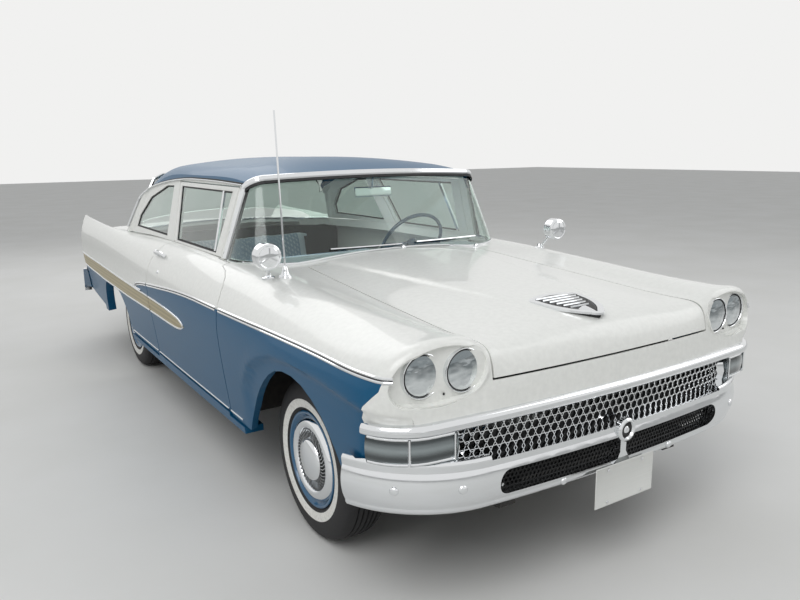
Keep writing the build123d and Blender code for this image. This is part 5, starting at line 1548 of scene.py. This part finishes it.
def upholster(bm, name, replaces=()):
    """Makes one cushion: cloth on the wide faces, vinyl at the ends, filled and subdivided."""
    bmesh.ops.recalc_face_normals(bm, faces=bm.faces[:])
    span = max(abs(v.co.x) for v in bm.verts)
    for face in bm.faces:
        face.material_index = int(abs(face.calc_center_median().x) > 0.86 * span)
    piece = shape_object(bm, name, [MATERIALS["seat_cloth"], MATERIALS["seat_vinyl"]])
    swell(piece, 0.012)
    smooth = piece.modifiers.new("smooth", "SUBSURF")
    smooth.levels = smooth.render_levels = 1
    with_modifiers(piece)
    piece.data.set_sharp_from_angle(angle=math.radians(60))
    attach(piece, "chassis")
    if replaces:
        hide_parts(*replaces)


def seats():
    """Two full-width benches with channelled cushions and backs."""
    upholster(cushion((-0.665, -0.335, 0.415), (0.665, 0.235, 0.520), -4, 8, 0.016), "front_seat_cushion",
              ("front_seat",))
    upholster(cushion((-0.665, 0.215, 0.440), (0.665, 0.315, 0.850), -13, 8, 0.014), "front_seat_back")
    upholster(cushion((-0.550, 0.700, 0.415), (0.550, 1.110, 0.520), -2, 6, 0.014), "rear_seat_cushion",
              ("rear_seat",))
    upholster(cushion((-0.550, 1.120, 0.530), (0.550, 1.210, 0.890), -14, 6, 0.012), "rear_seat_back")
    bm = bmesh.new()
    for x in (-0.40, 0.40):
        box_block((x - 0.19, -0.25, 0.332), (x + 0.19, 0.24, 0.412), 0.012, bm=bm)
    place(bm, "front_seat_frame", "chassis", "chassis_paint")
    bm = bmesh.new()
    for x in (-0.38, 0.38):
        box_block((x - 0.16, 0.745, 0.332), (x + 0.16, 0.875, 0.412), 0.012, bm=bm)
    place(bm, "rear_seat_frame", "chassis", "chassis_paint")
    bm = box_block((-0.58, 1.225, 0.862), (0.58, 1.500, 0.880), 0.006)
    place(bm, "parcel_shelf", "chassis", "seat_vinyl")


def dashboard_details():
    """A padded top, the instrument hood with its dials, and bright knobs."""
    dress("dash_paint", "dashboard")
    dress("wheel_plastic", "steering_column")
    bm = bmesh.new()
    row = [Vector((x, -0.765, 0.972)) for x in (-0.745, -0.4, 0, 0.4, 0.745)]
    pad = mm([(-30, -8), (-42, 4), (-34, 16), (100, 20), (190, 10), (190, -8)])
    sweep(pad, placements(row, [Vector((0, 0, 1))] * 5), bm=bm)
    place(bm, "dash_pad", "chassis", "seat_vinyl")
    tube = mm([(0, 62), (30, 66), (34, 64), (34, 60), (6, 56), (4, 0)])
    bm = bmesh.new()
    for x in (0.310, 0.470):
        lathe(tube, (x, -0.745, 0.885), (0, 0.94, 0.34), (0, 0, 1), 40, bm=bm)
    for x in (-0.12, 0.0, 0.12):
        lathe(mm([(0, 12), (14, 11), (18, 8), (19, 0)]), (x, -0.738, 0.860), (0, 0.94, 0.34),
              (0, 0, 1), 20, bm=bm)
    place(bm, "dash_dials", "chassis", "chrome")


def steering_wheel_details():
    """A round rim, two spokes with a bright half ring for the horn, and the boss."""
    lean = math.radians(30)
    centre = Vector((0.390, -0.600, 1.000))
    axis = Vector((0, math.cos(lean), math.sin(lean)))
    up = Vector((0, -math.sin(lean), math.cos(lean)))
    rim = [(0.0105 * math.cos(t),
            0.201 + 0.0105 * math.sin(t)) for t in [math.tau * i / 12 for i in range(12)]]
    bm = lathe(rim, centre, axis, up, 96, closed=True)
    boss = mm([(-58, 30), (-20, 33), (-6, 38), (4, 36), (10, 24), (12, 0)])
    lathe(boss, centre, axis, up, 40, bm=bm)
    spoke = mm([(-16, -6), (-14, 6), (14, 6), (16, -6)])
    for side in (-1, 1):
        line = ((0.028, -0.004), (0.11, -0.010), (0.198, -0.001))
        held(spoke, [centre + Vector((side * r, 0, 0)) + axis * d for r, d in line], axis, bm)
    place(bm, "steering_wheel_rim", "steering_wheel_body", "wheel_plastic", ("steering_wheel",))
    points, outs = [], []
    for i in range(25):
        t = math.radians(190 + 160 * i / 24)
        points.append(centre + Vector((0.125 * math.cos(t), 0,
                                       0)) + up * (0.125 * math.sin(t)) + axis * 0.004)
        outs.append(axis)
    ring = mm([(-3.5, -3), (-3.5, 3), (3.5, 3), (3.5, -3)])
    place(sweep(ring, placements(points, outs)), "horn_ring", "steering_wheel_body", "chrome")


def cabin_fittings():
    """Interior mirror on its stem."""
    bm = box_block((-0.040, -0.760, 1.298), (0.190, -0.742, 1.352), 0.008, 3)
    bmesh.ops.rotate(bm, cent=(0.075, -0.75, 1.325), matrix=Matrix.Rotation(math.radians(-8), 3, "X"),
                     verts=bm.verts[:])
    stem = mm([(60, -765, 1345), (45, -792, 1375), (35, -815, 1405)])
    held(mm([(-5, -5), (-5, 5), (5, 5), (5, -5)]), stem, (1, 0, 0), bm)
    bmesh.ops.translate(bm, vec=(-0.035, 0, 0), verts=bm.verts[:])
    place(bm, "interior_mirror", "chassis", "chrome")


# Rear end


def rear_details():
    """Lamp rims, lenses, the lid's handle, and the rear bumper's guards and edge beads."""
    tree = node_surface("rear_bumper")
    for z in (0.432, 0.588):
        points, outs = [], []
        for i in range(-28, 29):
            x = 0.0335 * i
            point, _ = meet(tree, (x, 3, z), (0, -1, 0))
            if point and point.y > 2.3:
                points.append(point)
                outs.append(Vector((0.25 * x, 1, 0)).normalized())
        bead = mm([(-7, -4), (-6, 4), (0, 7), (6, 4), (7, -4)])
        name = f"rear_bumper_bead_{int(z * 1000)}"
        place(sweep(bead, placements(points, outs)), name, "chassis", "chrome")
    guard = bmesh.new()
    for x in (-0.36, 0.36):
        box_block((x - 0.030, 2.520, 0.400), (x + 0.030, 2.592, 0.640), 0.022, 4, bm=guard)
    place(guard, "rear_bumper_guards", "chassis", "chrome")
    dress("red_lens", "tail_lamps")
    bm = bmesh.new()
    lens = bmesh.new()
    ring = mm([(-30, 58.5), (4, 64), (10, 62), (10, 57), (2, 54.5), (-20, 54.5)])
    dome = mm([(-10, 56), (4, 55), (12, 43), (15, 26), (14, 18), (18, 12), (18.5, 0)])
    for x in (0.715, 0.845):
        point, _ = meet(SURFACES["skin"], (x, 3, 0.840), (0, -1, 0))
        y = max(point.y if point else 0, 2.497)
        lathe(ring, (x, y, 0.840), (0, 1, 0), (0, 0, 1), 48, closed=True, bm=bm)
        lathe(dome, (x, y, 0.840), (0, 1, 0), (0, 0, 1), 48, bm=lens)
    place_both(bm, "tail_lamp_rim", "chassis", "chrome")
    place_both(lens, "tail_lamp_lens", "chassis", "red_lens")
    points = []
    for x in [0.012 * i for i in range(11)]:
        point, _ = meet(SURFACES["skin"], (x + 0.001, 3, 0.770), (0, -1, 0))
        points.append(point + Vector((0, 0.010 * (1 - (x / 0.13) ** 4), 0)))
    points = [Vector((-p.x, p.y, p.z)) for p in reversed(points[1:])] + points
    section = mm([(-12, -16), (-10, 4), (0, 8), (10, 4), (12, -16)])
    place(held(section, points, (0, 1, 0)), "boot_handle", "boot_lid_body", "chrome")


# Underside and engine bay


def running_gear():
    """Plain finishes for what is seen below the car."""
    dress("iron", "knuckle_l", "knuckle_r", "control_arms", "rear_axle", "leaf_springs", "exhaust")
    dress("chassis_paint", "inner_fenders", "frame", "radiator", "fuel_tank", "floor_pan")
    dress("engine_enamel", "engine")
    dress("blue", "sills")


def studio():
    """A pale floor, soft lamps and the camera at the photograph's place."""
    bm = bmesh.new()
    bmesh.ops.create_grid(bm, x_segments=2, y_segments=2, size=40)
    floor = shape_object(bm, "studio_floor", [MATERIALS["floor"]])
    world = bpy.data.worlds.new("studio")
    bpy.context.scene.world = world
    world.use_nodes = True
    tree = world.node_tree
    tree.nodes.clear()
    output = add_node(tree, "ShaderNodeOutputWorld")
    place_in = add_node(tree, "ShaderNodeTexCoord")
    split = add_node(tree, "ShaderNodeSeparateXYZ", {"Vector": place_in.outputs["Generated"]})
    sky = add_node(tree, "ShaderNodeValToRGB", {"Fac": split.outputs["Z"]})
    sky.color_ramp.elements[0].color = linear("#9A9A98")
    sky.color_ramp.elements[1].color = linear("#F4F6F8")
    sky.color_ramp.elements[0].position = 0.0
    sky.color_ramp.elements[1].position = 0.35
    light = add_node(tree, "ShaderNodeBackground", {"Color": sky.outputs["Color"]}, {"Strength": 0.50})
    back = add_node(tree, "ShaderNodeBackground", values={"Color": linear("#F1F1F0"), "Strength": 1.0})
    path = add_node(tree, "ShaderNodeLightPath")
    rays = path.outputs["Is Camera Ray"]
    for kind in ("Is Glossy Ray", "Is Transmission Ray"):
        rays = add_node(tree, "ShaderNodeMath", {0: rays, 1: path.outputs[kind]},
                        operation="MAXIMUM").outputs["Value"]
    mix = add_node(tree, "ShaderNodeMixShader", {0: rays, 1: light.outputs["Background"],
                                                 2: back.outputs["Background"]})
    tree.links.new(mix.outputs["Shader"], output.inputs["Surface"])
    for name, spot, size, power in (("key", (-4.5, -5.0, 6.5), 5, 260), ("fill", (6, -4, 5), 5, 90),
                                    ("back", (0, 6, 6), 6, 130), ("cabin", (0, 0.15, 1.37), 0.7, 7)):
        lamp = bpy.data.lights.new(name, "AREA")
        lamp.size = size
        lamp.energy = power
        obj = bpy.data.objects.new(name, lamp)
        obj.location = spot
        obj.rotation_euler = (Vector((0, 0, 0.6)) - Vector(spot)).to_track_quat("-Z", "Y").to_euler()
        obj.visible_glossy = obj.visible_transmission = name != "cabin"
        bpy.context.collection.objects.link(obj)
    data = bpy.data.cameras.new("photo_view")
    data.sensor_width = 36
    data.lens = 36 * 725.4 / 800
    camera = bpy.data.objects.new("photo_view", data)
    camera.location = (-2.0013, -4.1766, 1.5486)
    camera.rotation_euler = [math.radians(a) for a in (78.26, 0.71, -32.95)]
    bpy.context.collection.objects.link(camera)
    bpy.context.scene.camera = camera
    bpy.context.scene.view_settings.view_transform = "Standard"


# The add-on


class SedanPaint(bpy.types.PropertyGroup):
    cream: bpy.props.FloatVectorProperty(name="Cream enamel", description="Upper body, hood and pillars",
                                         subtype="COLOR", size=3, min=0, max=1, default=linear("#F0F1ED")[:3])
    blue: bpy.props.FloatVectorProperty(name="Blue enamel", description="Lower body and sills",
                                        subtype="COLOR", size=3, min=0, max=1, default=linear("#05567E")[:3])
    gold: bpy.props.FloatVectorProperty(name="Gold trim", description="Anodised spear on each flank",
                                        subtype="COLOR", size=3, min=0, max=1, default=linear("#BDB08A")[:3])


class SedanSizes(bpy.types.PropertyGroup):
    strip_width: bpy.props.FloatProperty(name="Side strip width", description="Width of the bright strip",
                                         default=0.021, min=0.010, max=0.040, subtype="DISTANCE",
                                         unit="LENGTH")
    shut_gap: bpy.props.FloatProperty(name="Shut gap", description="Gap between the body panels",
                                      default=SHUT_GAP, min=0.004, max=0.012, subtype="DISTANCE",
                                      unit="LENGTH")


class SEDAN_OT_finishes(bpy.types.Operator):
    """Makes the car's finishes"""
    bl_idname = "sedan.finishes"
    bl_label = "Finishes"

    def execute(self, context):
        make_finishes()
        return {"FINISHED"}


class SEDAN_OT_body(bpy.types.Operator):
    """Builds the painted panels from one skin"""
    bl_idname = "sedan.body"
    bl_label = "Body panels"

    def execute(self, context):
        body_panels()
        return {"FINISHED"}


class SEDAN_OT_glazing(bpy.types.Operator):
    """Dresses the roof, the glass and their surrounds"""
    bl_idname = "sedan.glazing"
    bl_label = "Roof and windows"

    def execute(self, context):
        SURFACES["roof"] = node_surface("roof")
        dress("roof", "roof")
        dress("glass", "windscreen", "rear_glass", "quarter_glass", "door_glass_l", "door_glass_r")
        window_frames()
        drip_and_surrounds()
        glazing()
        return {"FINISHED"}


class SEDAN_OT_wheels(bpy.types.Operator):
    """Builds the four whitewall tyres, wheels and hub caps"""
    bl_idname = "sedan.wheels"
    bl_label = "Wheels"

    def execute(self, context):
        for corner in WHEEL_PLACES:
            wheel_set(corner)
        return {"FINISHED"}


class SEDAN_OT_side_trim(bpy.types.Operator):
    """Builds the side strips, the gold spears and the sill strips"""
    bl_idname = "sedan.side_trim"
    bl_label = "Side trim"

    def execute(self, context):
        side_trim()
        return {"FINISHED"}


class SEDAN_OT_front(bpy.types.Operator):
    """Builds the grille meshes, the lamps' trim, the plates and the bolts"""
    bl_idname = "sedan.front"
    bl_label = "Front end"

    def execute(self, context):
        grille()
        headlamp_trim()
        parking_trim()
        front_fittings()
        hood_details()
        return {"FINISHED"}


class SEDAN_OT_fittings(bpy.types.Operator):
    """Builds handles, mirrors, aerial foot and wipers"""
    bl_idname = "sedan.fittings"
    bl_label = "Fittings"

    def execute(self, context):
        door_furniture()
        mirrors_and_aerial()
        wipers()
        return {"FINISHED"}


class SEDAN_OT_cabin(bpy.types.Operator):
    """Builds the seats, the dashboard's details, the steering wheel and the mirror"""
    bl_idname = "sedan.cabin"
    bl_label = "Cabin"

    def execute(self, context):
        seats()
        dashboard_details()
        steering_wheel_details()
        cabin_fittings()
        return {"FINISHED"}


class SEDAN_OT_rear(bpy.types.Operator):
    """Builds the lamps and the handle at the rear"""
    bl_idname = "sedan.rear"
    bl_label = "Rear end"

    def execute(self, context):
        rear_details()
        return {"FINISHED"}


class SEDAN_OT_running_gear(bpy.types.Operator):
    """Gives the frame, axles and engine their finishes"""
    bl_idname = "sedan.running_gear"
    bl_label = "Running gear"

    def execute(self, context):
        running_gear()
        return {"FINISHED"}


class SEDAN_OT_studio(bpy.types.Operator):
    """Sets up the floor, the lamps and the camera"""
    bl_idname = "sedan.studio"
    bl_label = "Studio"

    def execute(self, context):
        studio()
        return {"FINISHED"}


OPERATORS = (SEDAN_OT_finishes, SEDAN_OT_body, SEDAN_OT_glazing, SEDAN_OT_wheels, SEDAN_OT_side_trim,
             SEDAN_OT_front, SEDAN_OT_fittings, SEDAN_OT_cabin, SEDAN_OT_rear, SEDAN_OT_running_gear,
             SEDAN_OT_studio)


class SEDAN_PT_panel(bpy.types.Panel):
    """The car's colours, sizes and pieces"""
    bl_idname = "SEDAN_PT_panel"
    bl_label = "Sedan"
    bl_space_type = "VIEW_3D"
    bl_region_type = "UI"
    bl_category = "Sedan"

    def draw(self, context):
        for name in ("cream", "blue", "gold"):
            self.layout.prop(context.scene.sedan_paint, name)
        self.layout.prop(context.scene.sedan_sizes, "strip_width")
        self.layout.prop(context.scene.sedan_sizes, "shut_gap")
        for operator in OPERATORS:
            self.layout.operator(operator.bl_idname)


CLASSES = (SedanPaint, SedanSizes, *OPERATORS, SEDAN_PT_panel)


def register():
    """Adds the settings, the operators and the panel."""
    for cls in CLASSES:
        bpy.utils.register_class(cls)
    bpy.types.Scene.sedan_paint = bpy.props.PointerProperty(type=SedanPaint)
    bpy.types.Scene.sedan_sizes = bpy.props.PointerProperty(type=SedanSizes)


def unregister():
    """Takes them away again."""
    del bpy.types.Scene.sedan_sizes
    del bpy.types.Scene.sedan_paint
    for cls in reversed(CLASSES):
        bpy.utils.unregister_class(cls)


def main():
    """Builds the car once."""
    register()
    bpy.ops.sedan.finishes()
    bpy.ops.sedan.body()
    bpy.ops.sedan.glazing()
    bpy.ops.sedan.wheels()
    bpy.ops.sedan.side_trim()
    bpy.ops.sedan.front()
    bpy.ops.sedan.fittings()
    bpy.ops.sedan.cabin()
    bpy.ops.sedan.rear()
    bpy.ops.sedan.running_gear()
    bpy.ops.sedan.studio()


if __name__ == "__main__":
    main()
